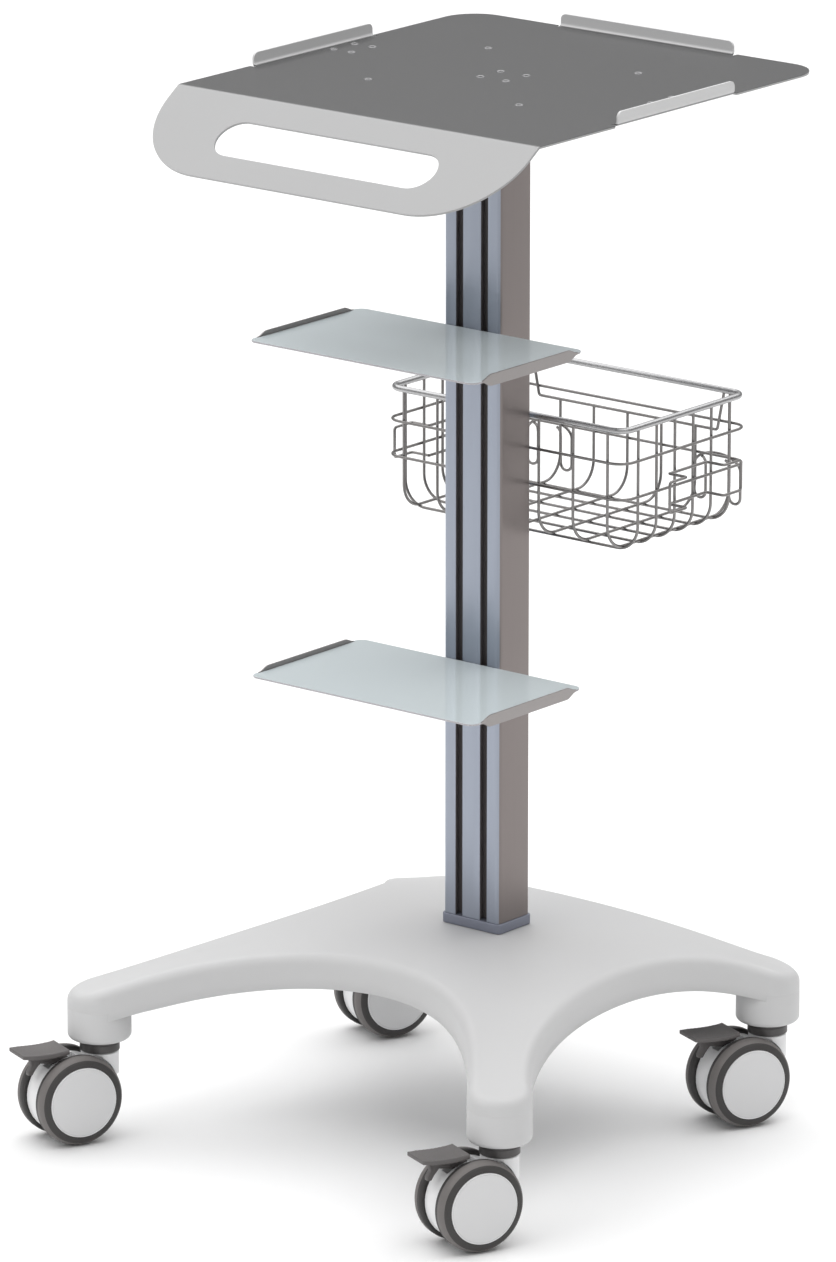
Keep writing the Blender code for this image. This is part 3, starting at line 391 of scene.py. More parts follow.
def cover_top(x, y):
    return HUB_TOP - (HUB_TOP - LEG_END_TOP) * leg_reach(x, y) ** 2.6


def cover_low(x, y):
    return cover_top(x, y) - COVER_DEPTH + COVER_RISE * max(0.0, leg_reach(x, y) - 0.8) / 0.2


def build_base():
    outline = base_outline()
    edge = COVER_EDGE
    inner = inset(outline, edge)
    rings = []
    shares = 16
    for k in range(shares + 1):
        share = k / shares
        ring = []
        for x, y in inner:
            length = hypot(x, y)
            px = x / length * HUB_HOLE_R * (1 - share) + x * share
            py = y / length * HUB_HOLE_R * (1 - share) + y * share
            ring.append((px, py, cover_top(px, py)))
        rings.append(ring)
    turns = 8
    for k in range(1, turns + 1):
        turn = k / turns * pi / 2
        loop = inset(outline, edge * (1 - sin(turn)))
        rings.append([(x, y, cover_top(*inner[i]) - edge * (1 - cos(turn))) for i, (x, y) in enumerate(loop)])
    lips = []
    for x, y in outline:
        nearest = min(hypot(abs(x) - sx, y - sy) for sx, sy in (FRONT_STEM, BACK_STEM))
        lips.append(0.05 * MM + 1.15 * MM * min(1.0, max(0.0, (nearest - LEG_END_R - 1 * MM) / (12 * MM))))
    for share in (0.5, 1.0):
        rings.append([(x, y, (cover_top(*inner[i]) - edge) * (1 - share)
                       + (cover_low(x, y) + lips[i]) * share) for i, (x, y) in enumerate(outline)])
    eased = inset(outline, 1 * MM)
    rings.append([(x + (ex - x) * lips[i] / MM, y + (ey - y) * lips[i] / MM, cover_low(x, y))
                  for i, ((x, y), (ex, ey)) in enumerate(zip(outline, eased))])
    rings.append([(x, y, cover_low(*outline[i])) for i, (x, y) in enumerate(inset(outline, COVER_WALL))])
    under = COVER_WALL
    rings.append([(x, y, cover_top(*inner[i]) - edge) for i, (x, y) in enumerate(inset(outline, under))])
    for k in range(shares, -1, -4):
        share = k / shares
        rings.append([(x, y, z - under) for x, y, z in rings[k]])
    rings.append(rings[0])
    mesh = lofted("base_cover_skin", rings, angle=radians(50))
    place = Matrix.Translation((CX, CY, 0))
    add("base_cover_skin", mesh, [WHITE_SHELL], "frame", ["base_cover"], place)

    outer, wall = LEG_END_R + 0.03 * MM, 4 * MM
    bottom = 6 * MM
    profile = [(outer - wall, SOCKET_TOP, 0), (outer, SOCKET_TOP - 6 * MM, 0), (outer, SOCKET_Z + bottom, 0)]
    for k in range(1, 7):
        turn = k / 6 * pi / 2
        profile.append((outer - bottom * (1 - cos(turn)), SOCKET_Z + bottom * (1 - sin(turn)), 0))
    profile += [(SOCKET_MOUTH_R, SOCKET_Z, 0), (SOCKET_MOUTH_R, SOCKET_Z + 3 * MM, 0),
                (outer - wall, SOCKET_Z + 6 * MM, 0), (outer - wall, SOCKET_TOP, 0)]
    socket = revolved("leg_socket", profile, 72)
    for name, place in STEMS.items():
        add(name + "_leg_socket", socket, [WHITE_SHELL], "frame",
            matrix=Matrix.Translation((place.x, place.y, 0)))


# ---------------------------------------------------------------- column
SLOT_X, SLOT_OPENING, SLOT_LIP, SLOT_CHANNEL, SLOT_DEPTH = 17 * MM, 9.5 * MM, 2.5 * MM, 15 * MM, 9 * MM
COLUMN_CORNER = 5.5 * MM


def build_column():
    low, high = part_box("column")
    width, depth = high.x - low.x, high.y - low.y
    w, d, r = width / 2, depth / 2, COLUMN_CORNER

    def slot_points(side, face):
        mouth, channel, ease = SLOT_OPENING / 2, SLOT_CHANNEL / 2, 0.7 * MM
        points = arc((-mouth - ease, -d + ease), ease, -pi / 2, 0, 3)
        points += [(-mouth, -d + SLOT_LIP), (-channel, -d + SLOT_LIP), (-channel, -d + SLOT_DEPTH),
                   (channel, -d + SLOT_DEPTH), (channel, -d + SLOT_LIP), (mouth, -d + SLOT_LIP)]
        points += arc((mouth + ease, -d + ease), ease, pi, 1.5 * pi, 3)
        return [(face * (x + side * SLOT_X), face * y) for x, y in points]

    outline = (slot_points(-1, 1) + slot_points(1, 1) + arc((w - r, -d + r), r, -pi / 2, 0, 9)
               + arc((w - r, d - r), r, 0, pi / 2, 9) + slot_points(-1, -1) + slot_points(1, -1)
               + arc((-w + r, d - r), r, pi / 2, pi, 9) + arc((-w + r, -d + r), r, pi, 1.5 * pi, 9))
    mesh = lofted("column_skin", [[(x, y, low.z) for x, y in outline], [(x, y, high.z) for x, y in outline]],
                  True, True, angle=radians(28))
    for face in mesh.polygons:
        x, y = abs(face.center.x), abs(face.center.y)
        if face.normal.z ** 2 > 0.5:
            continue
        # faces inside the slots: the channel's painted shade
        if y < d - 0.8 * MM and x < w - r - 0.5 * MM:
            face.material_index = 2
        # side faces: the anodising in its darker, warmer painted shade
        elif abs(face.normal.x) > 0.75 and x > w - r:
            face.material_index = 1
    add("column_skin", mesh, [ANODISED, ANODISED_SIDE_PAINTED_SHADE, SLOT_PAINTED_SHADE], "frame", ["column"],
        Matrix.Translation((CX, CY, 0)))

    low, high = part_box("column_foot")
    foot = (high.x - low.x) / 2, (high.y - low.y) / 2
    top = high.z
    outline = rounded_rectangle((-foot[0], -foot[1]), (foot[0], foot[1]), 6.5 * MM)
    mesh = slab("column_foot_plate", outline, HUB_TOP + 0.2 * MM, top, 1.2 * MM, 4)
    add("column_foot_plate", mesh, [FOOT_PAINT], "frame", ["column_foot"],
        Matrix.Translation((CX, CY, 0)))


# ---------------------------------------------------------------- platform
PLATFORM_W, PLATFORM_D, PLATFORM_Y = 490 * MM, 495 * MM, 26 * MM
PLATFORM_TOP = 1159 * MM
SHEET, LIP_HEIGHT, LIP_BEND, NOTCH = 2.5 * MM, 14 * MM, 4 * MM, 4 * MM
HANDLE_LENGTH, HANDLE_DROP = 122 * MM, radians(34)
INSERT_R = 3 * MM


def insert_places():
    places = [(sx * half, sy * half) for half in (103 * MM, 17.5 * MM) for sx in (-1, 1) for sy in (-1, 1)]
    places += [(sx * x, y) for sx in (-1, 1) for x in (205 * MM, 230 * MM) for y in (-7 * MM, 29 * MM)]
    return places


def lip_edge(reach, low, high):
    """A lip seen along its side: (position along the side, distance out) pairs."""
    flat = LIP_BEND * pi / 2 + LIP_HEIGHT - LIP_BEND
    root_line = reach - LIP_BEND - SHEET
    tip, r = root_line + flat, 6.5 * MM
    ease = 1.5 * MM
    points = arc((low - NOTCH - ease, reach - ease), ease, pi / 2, 0, 4)
    points += arc((low - NOTCH / 2, root_line + NOTCH / 2 - 1 * MM), NOTCH / 2, pi, 2 * pi, 8)
    points += arc((low + r, tip - r), r, pi, pi / 2, 10)
    points += arc((high - r, tip - r), r, pi / 2, 0, 10)
    points += arc((high + NOTCH / 2, root_line + NOTCH / 2 - 1 * MM), NOTCH / 2, pi, 2 * pi, 8)
    points += arc((high + NOTCH + ease, reach - ease), ease, pi, pi / 2, 4)
    return points


def lip_places():
    """Where the right, back and left lips start and end along their sides."""
    w, d = PLATFORM_W / 2, PLATFORM_D / 2
    return [(-d + 0.268 * 2 * d, -d + 0.675 * 2 * d), (-w + 0.267 * 2 * w, -w + 0.751 * 2 * w),
            (-d + 0.245 * 2 * d, -d + 0.652 * 2 * d)]


def platform_blank():
    w, d = PLATFORM_W / 2, PLATFORM_D / 2
    corner, back_corner = 101 * MM, 42 * MM
    spans = lip_places()
    right = [(out, along) for along, out in lip_edge(w, *spans[0])]
    back = [(along, out) for along, out in lip_edge(d, *spans[1])]
    left = [(-out, along) for along, out in lip_edge(w, *spans[2])]
    outline = arc((w - corner, -d - HANDLE_LENGTH + corner), corner, -pi / 2, 0, 32)
    outline += right
    outline += arc((w - back_corner, d - back_corner), back_corner, 0, pi / 2, 20)
    outline += list(reversed(back))
    outline += arc((-w + back_corner, d - back_corner), back_corner, pi / 2, pi, 20)
    outline += list(reversed(left))
    outline += arc((-w + corner, -d - HANDLE_LENGTH + corner), corner, pi, 1.5 * pi, 32)
    return outline


def fold(value, start, radius, angle):
    past = value - start
    if past <= 0:
        return value, 0.0
    turn = min(past / radius, angle)
    straight = max(0.0, past - radius * angle)
    return (start + radius * sin(turn) + straight * cos(angle),
            radius * (1 - cos(turn)) + straight * sin(angle))


def build_platform():
    w, d = PLATFORM_W / 2, PLATFORM_D / 2
    radius = 0.21 * HANDLE_LENGTH
    half = 0.30 * PLATFORM_W - radius
    y = -PLATFORM_D / 2 - 0.51 * HANDLE_LENGTH
    hand_hole = arc((half, y), radius, -pi / 2, pi / 2, 24) + arc((-half, y), radius, pi / 2, 1.5 * pi, 24)
    outlines = [platform_blank(), hand_hole]
    outlines += [arc(place, INSERT_R, 0, 2 * pi * 15 / 16, 15) for place in insert_places()]
    start = LIP_BEND + SHEET
    bend = 7 * MM
    spans = [(low - NOTCH / 2, high + NOTCH / 2) for low, high in lip_places()]
    folds = [((1, 0), w - start, LIP_BEND, pi / 2, 1, spans[0]),
             ((0, 1), d - start, LIP_BEND, pi / 2, 1, spans[1]),
             ((-1, 0), w - start, LIP_BEND, pi / 2, 1, spans[2]),
             ((0, -1), d - 1 * MM, bend, HANDLE_DROP, -1, (-2 * w, 2 * w))]
    steps = 6
    bm = bmesh.new()
    for outline in outlines:
        loop = [bm.verts.new((px, py, 0)) for px, py in outline]
        for i, vert in enumerate(loop):
            bm.edges.new((vert, loop[(i + 1) % len(loop)]))
    bmesh.ops.triangle_fill(bm, edges=bm.edges, use_beauty=True, use_dissolve=False, normal=(0, 0, 1))
    for (dx, dy), begin, r, angle, _, _ in folds:
        for step in range(steps + 1):
            reach = begin + r * angle * step / steps
            bmesh.ops.bisect_plane(bm, geom=bm.verts[:] + bm.edges[:] + bm.faces[:], dist=0.001 * MM,
                                   plane_co=(dx * reach, dy * reach, 0), plane_no=(dx, dy, 0))
    for vert in bm.verts:
        for (dx, dy), begin, r, angle, sign, (low, high) in folds:
            reach = vert.co.x * dx + vert.co.y * dy
            if not low < vert.co.x * abs(dy) + vert.co.y * abs(dx) < high:
                continue
            along, rise = fold(reach, begin, r, angle)
            vert.co.x += dx * (along - reach)
            vert.co.y += dy * (along - reach)
            vert.co.z += sign * rise
    bmesh.ops.recalc_face_normals(bm, faces=bm.faces)
    if sum(face.normal.z * face.calc_area() for face in bm.faces) < 0:
        bmesh.ops.reverse_faces(bm, faces=bm.faces)
    mesh = bpy.data.meshes.new("platform_sheet")
    bm.to_mesh(mesh)
    bm.free()
    mesh = baked("platform_sheet", mesh, [
        ("SOLIDIFY", {"thickness": SHEET, "offset": -1.0, "use_even_offset": True}),
        ("BEVEL", {"width": 0.5 * MM, "segments": 2, "limit_method": "ANGLE", "angle_limit": radians(60)})])
    mesh.shade_smooth()
    mesh = baked("platform_sheet", mesh, [FLAT_NORMALS])
    place = Matrix.Translation((CX, CY + PLATFORM_Y, PLATFORM_TOP))
    add("platform_sheet", mesh, [platform_coat_and_painted_shade()], "frame", ["platform"], place)

    bore = 3.1 * MM
    # the bore and its cone take material 1, the dark core: painted shade inside the hole
    ring = [(INSERT_R - 0.1 * MM, -SHEET - 1.5 * MM, 0), (INSERT_R - 0.1 * MM, 0.02 * MM, 0),
            (4.9 * MM, 0.02 * MM, 0), (4.8 * MM, 0.3 * MM, 0), (4.4 * MM, 0.6 * MM, 0),
            (4.0 * MM, 0.62 * MM, 0), (bore, 0.15 * MM, 1), (2.3 * MM, -1.2 * MM, 1),
            (2.3 * MM, -SHEET - 1.5 * MM, 1),
            (INSERT_R - 0.1 * MM, -SHEET - 1.5 * MM, 1)]
    insert = revolved("insert", ring, 24)
    for number, (px, py) in enumerate(insert_places()):
        add("platform_insert_%02d" % number, insert, [INSERT_STEEL, HUB_CORE_AND_BORE_SHADE], "frame",
            matrix=Matrix.Translation((CX + px, CY + PLATFORM_Y + py, PLATFORM_TOP)))


def platform_coat_and_painted_shade():
    """Grey powder coat with painted shade and light: the flat top is painted dark grey as shade, the lips a
    lighter grey as painted light; the handle, the edges and below keep the light grey coat.
    """
    mat = finish("platform_paint", (0.355, 0.355, 0.357), 0.36, 0.0, mottle=0.02,
                 grain=(1000, 1000, 1000), bump=0.14)
    tree = mat.node_tree
    shader = tree.nodes["Principled BSDF"]
    light = shader.inputs["Base Color"].links[0].from_socket
    place = tree.nodes.new("ShaderNodeTexCoord")
    axes = tree.nodes.new("ShaderNodeSeparateXYZ")
    tree.links.new(place.outputs["Object"], axes.inputs["Vector"])
    above = step_node(tree, axes.outputs["Z"], -0.7 * MM, -0.3 * MM)
    below = step_node(tree, axes.outputs["Z"], 0.05 * MM, 1.6 * MM, 1.0, 0.0)
    behind = step_node(tree, axes.outputs["Y"], -PLATFORM_D / 2 - 4 * MM, -PLATFORM_D / 2 + 2 * MM)
    # painted shade mask: the flat top behind the handle's fold, fading out across the lips' bends
    painted_shade_mask = times(tree, times(tree, above, below), behind)
    mix = tree.nodes.new("ShaderNodeMix")
    mix.data_type = "RGBA"
    # painted light: the lips above their bends painted a lighter grey
    lips = tree.nodes.new("ShaderNodeMix")
    lips.data_type = "RGBA"
    tree.links.new(step_node(tree, axes.outputs["Z"], 0.05 * MM, 1.6 * MM), lips.inputs[0])
    tree.links.new(light, lips.inputs[6])
    lips.inputs[7].default_value = (0.62, 0.62, 0.622, 1)
    tree.links.new(painted_shade_mask, mix.inputs[0])
    tree.links.new(lips.outputs[2], mix.inputs[6])
    # painted shade: the flat top's dark grey
    mix.inputs[7].default_value = (0.052, 0.052, 0.053, 1)
    tree.links.new(mix.outputs[2], shader.inputs["Base Color"])
    return mat


# ---------------------------------------------------------------- shelves
RAIL_T, RAIL_UP, RAIL_DOWN, SHELF_SHEET = 1.8 * MM, 5 * MM, 8 * MM, 2.2 * MM


def build_shelf(name):
    low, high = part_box(name + "_shelf_plate")
    top = high.z
    half, back, front = (high.x - low.x) / 2, high.y, low.y
    body = name + "_shelf"
    recess = RAIL_T + 0.3 * MM
    rail_front, rail_back = front + 15 * MM, back - 12 * MM
    corner = 11 * MM
    outline = rounded_rectangle((-half, front), (half, back), corner, 12)
    side = [(half, rail_front), (half - recess, rail_front), (half - recess, rail_back), (half, rail_back)]
    quarter = len(outline) // 4
    outline = (outline[:quarter] + side + outline[quarter:3 * quarter]
               + [(-x, y) for x, y in reversed(side)] + outline[3 * quarter:])
    mesh = prism(name + "_shelf_panel", outline, top - SHELF_SHEET, top, 0.4 * MM)
    for face in mesh.polygons:
        if face.normal.z < 0.5:
            face.material_index = 1
    add(name + "_shelf_panel", mesh, [SHELF_GLOSS_AND_PAINTED_LIGHT[name], SHELF_EDGE], body,
        [name + "_shelf_plate"], Matrix.Translation((CX, 0, 0)))

    length = rail_back - rail_front - 0.6 * MM
    taper, steps = 16 * MM, 14
    upper, lower = [], []
    for i in range(steps + 1):
        along = taper * i / steps
        swell = (1 - cos(pi * i / steps)) / 2
        upper.append((along, (RAIL_UP - 0.4 * MM) * swell + 0.4 * MM))
        lower.append((along, -SHELF_SHEET - (RAIL_DOWN - SHELF_SHEET) * swell))
    profile = lower + [(length - x, y) for x, y in reversed(lower)]
    profile += [(length - x, y) for x, y in upper] + list(reversed(upper))
    rail = prism(name + "_rail", profile, -RAIL_T / 2, RAIL_T / 2, 0.4 * MM)
    for side_name, sign in (("left", -1), ("right", 1)):
        place = Matrix.Translation((CX + sign * (half - RAIL_T / 2), rail_front + 0.3 * MM, top)) @ STAND_UP
        add("%s_rail_%s" % (name, side_name), rail, [RAIL_METAL], body,
            ["%s_shelf_rail_%s" % (name, side_name)], place)


# ---------------------------------------------------------------- wire basket
BASKET_WIDEN, BASKET_DEEPEN, BASKET_H = 5.5 * MM, 4 * MM, 140 * MM
BASKET_SHIFT = (-3 * MM, 2.5 * MM, 0)
RIM_R, WIRE_R, BASKET_CORNER, BASKET_BEND = 3.6 * MM, 1.65 * MM, 16 * MM, 28 * MM


def evenly(half, count):
    return [-half + 2 * half * i / count for i in range(count + 1)]


def u_path(half, top_start, top_end, bottom, along, cross):
    """A wire down one side, across the floor and up the other, at one cross position."""
    bend = BASKET_BEND
    points = [(-half, top_start)]
    points += arc((-half + bend, bottom + bend), bend, pi, 1.5 * pi, 12)
    points += arc((half - bend, bottom + bend), bend, -pi / 2, 0, 12)
    points.append((half, top_end))
    return [(a, cross, z) if along == "x" else (cross, a, z) for a, z in points]


def softened(points, radius, steps=5):
    """An open wire path with its inner corners rounded."""
    points = [Vector(point) for point in points]
    result = [points[0]]
    for before, corner, after in zip(points, points[1:], points[2:]):
        back, on = (before - corner), (after - corner)
        reach = min(radius, back.length * 0.49, on.length * 0.49)
        start, end = corner + back.normalized() * reach, corner + on.normalized() * reach
        for i in range(steps + 1):
            t = i / steps
            result.append(start * (1 - t) ** 2 + corner * 2 * t * (1 - t) + end * t * t)
    result.append(points[-1])
    return result


def build_basket():
    low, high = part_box("basket_rim")
    centre = (low + high) / 2 + Vector(BASKET_SHIFT)
    x_half = (high.x - low.x) / 2 - RIM_R + BASKET_WIDEN
    y_half = (high.y - low.y) / 2 - RIM_R + BASKET_DEEPEN

    def world(points):
        return [tuple(centre + Vector(point)) for point in points]

    rim = [(x, y, 0) for x, y in rounded_rectangle((-x_half, -y_half), (x_half, y_half), BASKET_CORNER, 14)]
    wires("basket_rim_wire", [(world(rim), True)], RIM_R, RIM_STEEL, "basket",
          ["basket_rim"], sides=6)

    wx, wy = x_half - 0.2 * MM, y_half - 0.2 * MM
    floor = -BASKET_H + WIRE_R
    edge_drop = 46 * MM
    paths = []
    for x in evenly(141 * MM, 6):
        path = u_path(wy, 0, -edge_drop if abs(x) < 140 * MM else 0, floor + 2 * WIRE_R, "y", x)
        paths.append((world(path), False))
    for y in evenly(81 * MM, 5):
        paths.append((world(u_path(wx, 0, 0, floor, "x", y)), False))
    wires("basket_cage_wires", paths, WIRE_R, WIRE_STEEL, "basket",
          ["basket_front_wires", "basket_back_wires", "basket_left_wires", "basket_right_wires",
           "basket_floor_wires"], sides=4)

    out = 2 * WIRE_R
    paths = []
    for level in (-36 * MM, -76 * MM):
        ring = rounded_rectangle((-wx - out, -wy - out), (wx + out, wy + out), BASKET_CORNER + out, 12)
        paths.append((world([(x, y, level) for x, y in ring]), True))
    edge = [(-133 * MM, wy, -2 * MM), (-124 * MM, wy, -edge_drop), (124 * MM, wy, -edge_drop),
            (133 * MM, wy, -2 * MM)]
    paths.append((world(softened(edge, 3 * MM)), False))
    wires("basket_hoop_wires", paths, WIRE_R, WIRE_STEEL, "basket", sides=4)

    paths = []
    crown, flange, stand = 33 * MM, 30.5 * MM, 24 * MM
    for sign in (1, -1):
        near = sign * (wx + 3 * WIRE_R + 0.8 * MM)
        far = near + sign * stand
        plan = [(far, -crown - flange), (far, -crown), (near, -crown), (near, crown), (far, crown),
                (far, crown + flange)]
        top = [(x, y, -60 * MM) for x, y in plan]
        low_run = [(x, y, -94 * MM) for x, y in reversed(plan)]
        loop = softened([top[2]] + top[3:] + low_run[:3] + [low_run[3]], 4 * MM)
        other = softened([low_run[3]] + low_run[4:] + top[:2] + [top[2]], 4 * MM)
        paths += [(world(loop), False), (world(other), False)]
    wires("basket_side_brackets", paths, WIRE_R, WIRE_STEEL, "basket", sides=4)

    paths = []
    reach, tight, behind = 31.5 * MM, 7.7 * MM, 10 * MM
    shoulder, foot = -92 * MM, -129.5 * MM
    for sign in (-1, 1):
        x, y = sign * (wx - 44 * MM), wy + behind
        half_turn = [pi * i / 24 for i in range(25)]
        arch = [(x + reach * cos(turn), y, shoulder + 16.5 * MM * sin(turn)) for turn in half_turn]
        legs = []
        for side in (1, -1):
            centre_x, base = x + side * (reach - tight), foot + tight
            turn_points = [(centre_x + side * tight * cos(t), y, base - tight * sin(t))
                           for t in [pi * i / 12 for i in range(13)]]
            inner = x + side * (reach - 2 * tight)
            legs.append(turn_points + [(inner, y, shoulder), (inner, y - 1 * MM, -86 * MM),
                                       (inner, y - 4 * MM, -82 * MM), (inner, wy + out, -80 * MM)])
        paths.append((world(list(reversed(legs[0])) + arch + legs[1]), False))
    wires("basket_cable_hangers", paths, WIRE_R, WIRE_STEEL, "basket", sides=4)


# ---------------------------------------------------------------- casters
WHEEL_R, CASTER_WIDTH, HOUSING_HALF, CAP_R, TRAIL = 50 * MM, 72 * MM, 14.2 * MM, 39.2 * MM, 37 * MM
COLLAR_R, STEM_R = 22 * MM, 5.5 * MM
SWIVEL_AT_REST = radians(-23)
WHEEL_INNER = 15.3 * MM


def caster_parts():
    parts = {}
    width = CASTER_WIDTH / 2 - WHEEL_INNER
    gap = 0.25 * MM
    tyre = [(CAP_R + gap, 0.3 * MM, 0), (WHEEL_R - 6 * MM, 0.3 * MM, 0)]
    for k in range(7):
        turn = k / 6 * pi / 2
        tyre.append((WHEEL_R - 3.5 * MM + 3.5 * MM * sin(turn), 3.8 * MM - 3.5 * MM * cos(turn), 0))
    # material 1 is the tread band in the rubber's painted light
    tyre += [(WHEEL_R, width - 13.5 * MM, 1)]
    for k in range(9):
        turn = k / 8 * radians(60)
        tyre.append((WHEEL_R - 11 * MM + 11 * MM * cos(turn), width - 11 * MM + 11 * MM * sin(turn),
                     1 if k < 6 else 0))
    tyre += [(CAP_R + 2.2 * MM, width - 1.1 * MM, 0), (CAP_R + 0.9 * MM, width - 0.5 * MM, 0),
             (CAP_R + gap, width - 0.9 * MM, 0), (CAP_R + gap, 0.3 * MM, 0)]
    parts["tyre"] = revolved("tyre_ring", tyre, 96, radians(30))

    cap = [(STEM_R, 0.2 * MM, 1), (CAP_R - 7 * MM, 0.2 * MM, 1), (CAP_R - 6 * MM, 1.6 * MM, 1),
           (CAP_R - 1 * MM, 1.6 * MM, 1),
           (CAP_R, 1.8 * MM, 2), (CAP_R, width - 0.9 * MM, 2), (CAP_R - 0.3 * MM, width - 0.1 * MM, 2),
           (CAP_R - 0.8 * MM, width + 0.1 * MM, 2), (CAP_R - 1.2 * MM, width - 0.1 * MM, 0),
           (CAP_R - 1.35 * MM, width - 0.5 * MM, 0), (CAP_R - 1.7 * MM, width - 0.5 * MM, 0)]
    domed = CAP_R - 2.0 * MM
    for k in range(13):
        r = domed * (1 - k / 12)
        cap.append((r, width + 1.9 * MM * (1 - (r / domed) ** 2) - 0.1 * MM, 0))
    cap += [(0, width - 5 * MM, 1), (STEM_R, width - 5 * MM, 1), (STEM_R, 0.2 * MM, 1)]
    parts["cap"] = revolved("wheel_cap", cap, 96, radians(30))

    ring = [(STEM_R + gap, 109.4 * MM, 0), (COLLAR_R - 1 * MM, 109.4 * MM, 0), (COLLAR_R, 108.6 * MM, 0),
            (COLLAR_R, 106.3 * MM, 0), (COLLAR_R - 0.5 * MM, 105.9 * MM, 0),
            (COLLAR_R - 0.5 * MM, 105.3 * MM, 0), (COLLAR_R, 104.9 * MM, 0), (COLLAR_R, 97.2 * MM, 0),
            (COLLAR_R - 1 * MM, 96.4 * MM, 0),
            (STEM_R + gap, 96.4 * MM, 0), (STEM_R + gap, 109.4 * MM, 0)]
    parts["ring"] = revolved("swivel_ring", ring, 64, radians(30))

    hub_y, hub_z, radius = -TRAIL, WHEEL_R, 45.5 * MM
    profile = []
    low_turn = radians(-50)
    for k in range(33):
        turn = low_turn + (radians(232) - low_turn) * k / 32
        profile.append((hub_y - radius * cos(turn), hub_z + radius * sin(turn)))
    profile += [(hub_y + 14 * MM, hub_z - 14 * MM), (hub_y, hub_z - 10 * MM),
                (hub_y - 14 * MM, hub_z - 14 * MM)]
    shroud = prism("shroud", profile, -HOUSING_HALF, HOUSING_HALF, 1.4 * MM)
    shroud.transform(STAND_UP)
    neck = revolved("neck", [(0, 96.0 * MM, 0), (20.2 * MM, 96.0 * MM, 0), (21.0 * MM, 95.2 * MM, 0),
                             (21.0 * MM, 70 * MM, 0), (0, 70 * MM, 0)], 64)
    wheel_room = rounded_rectangle((hub_y - 52 * MM, hub_z - 52 * MM), (hub_y + 51.6 * MM, hub_z + 51.2 * MM),
                                   50 * MM, 16)
    cut_right = prism("cut", wheel_room, HOUSING_HALF + 0.3 * MM, 40 * MM, 0.1 * MM)
    cut_right.transform(STAND_UP)
    cut_left = cut_right.copy()
    cut_left.transform(Matrix.Diagonal((-1, 1, 1, 1)))
    cut_left.flip_normals()
    slot_plan = [(-7 * MM, -66 * MM), (7 * MM, -66 * MM), (7 * MM, -31 * MM), (-7 * MM, -31 * MM)]
    slot = lofted("slot", [[(x, y, z) for x, y in slot_plan] for z in (74 * MM, 120 * MM)], True, True)
    parts["housing"] = cut_shape("housing_shell", neck, [cut_right, cut_left], shroud, slot)
    parts["pedal"] = pedal_shape()
    return parts


def working(mesh):
    obj = bpy.data.objects.new("working_shape", mesh)
    SCENE.collection.objects.link(obj)
    return obj


def cut_shape(name, neck, cutters, shroud, slot):
    """The neck, with room cut for both wheels, joined to the shroud, with the pedal's slot cut out."""
    body = working(neck)
    tools = [(working(cutter), "DIFFERENCE") for cutter in cutters]
    tools += [(working(shroud), "UNION"), (working(slot), "DIFFERENCE")]
    for number, (tool, operation) in enumerate(tools):
        step = body.modifiers.new("step_%d" % number, "BOOLEAN")
        step.operation = operation
        step.object = tool
    bpy.context.view_layer.update()
    mesh = bpy.data.meshes.new_from_object(body.evaluated_get(bpy.context.evaluated_depsgraph_get()))
    mesh.name = name
    for obj in [body] + [tool for tool, _ in tools]:
        bpy.data.objects.remove(obj, do_unlink=True)
    return shaded(mesh, radians(32))


PEDAL_TREAD = (-46 * MM, -101 * MM)


def tread_height(x, y):
    """The saddle: it dips along the trailing direction, less so along its long edges."""
    start, end = PEDAL_TREAD
    share = (y - start) / (end - start)
    dip = 3.4 * MM - 1.6 * MM * (x / (20 * MM)) ** 2
    return 107.6 * MM - dip * sin(pi * share ** 0.75) + 0.2 * MM * share


def pedal_shape():
    start, end = PEDAL_TREAD
    columns, rows = 16, 24
    rings = []
    for j in range(rows + 1):
        share = j / rows
        y = start + (end - start) * share
        ridge = 0.45 * MM if 0.2 < share < 0.85 and j % 2 else 0.0
        half = 20.0 * MM - 2.0 * MM * max(0.0, share - 0.8) / 0.2 + ridge
        thick = 5.2 * MM - 0.8 * MM * share
        across = [-half + 2 * half * i / columns for i in range(columns + 1)]
        top = [(x, y, tread_height(x, y)) for x in across]
        rib = 0.5 * MM if 0.25 < share < 0.9 and j % 2 else 0.0
        low = [(x, py, z - thick - rib) for x, py, z in reversed(top)]
        rings.append(top + low)
    mesh = lofted("tread", rings, True, True, angle=radians(60))
    mesh = baked("tread", mesh, [("BEVEL", {"width": 0.7 * MM, "segments": 3, "limit_method": "ANGLE",
                                            "angle_limit": radians(60)}), FLAT_NORMALS])
    web = [(-38 * MM, 80 * MM), (-46 * MM, 79 * MM), (-58 * MM, 88 * MM), (-74 * MM, 91 * MM),
           (-80 * MM, 84 * MM), (-83 * MM, 79 * MM), (-88 * MM, 79 * MM), (-88 * MM, 83 * MM),
           (-84 * MM, 90 * MM), (-87 * MM, 101 * MM), (-70 * MM, 100 * MM), (-56 * MM, 102.5 * MM),
           (-46.5 * MM, 103 * MM), (-42 * MM, 97 * MM), (-38 * MM, 90 * MM)]
    web_mesh = prism("web", web, -3.5 * MM, 3.5 * MM, 0.8 * MM)
    web_mesh.transform(STAND_UP)
    body, tool = working(mesh), working(web_mesh)
    step = body.modifiers.new("join", "BOOLEAN")
    step.operation = "UNION"
    step.object = tool
    bpy.context.view_layer.update()
    result = bpy.data.meshes.new_from_object(body.evaluated_get(bpy.context.evaluated_depsgraph_get()))
    result.name = "pedal"
    for obj in (body, tool):
        bpy.data.objects.remove(obj, do_unlink=True)
    return shaded(result, radians(40))


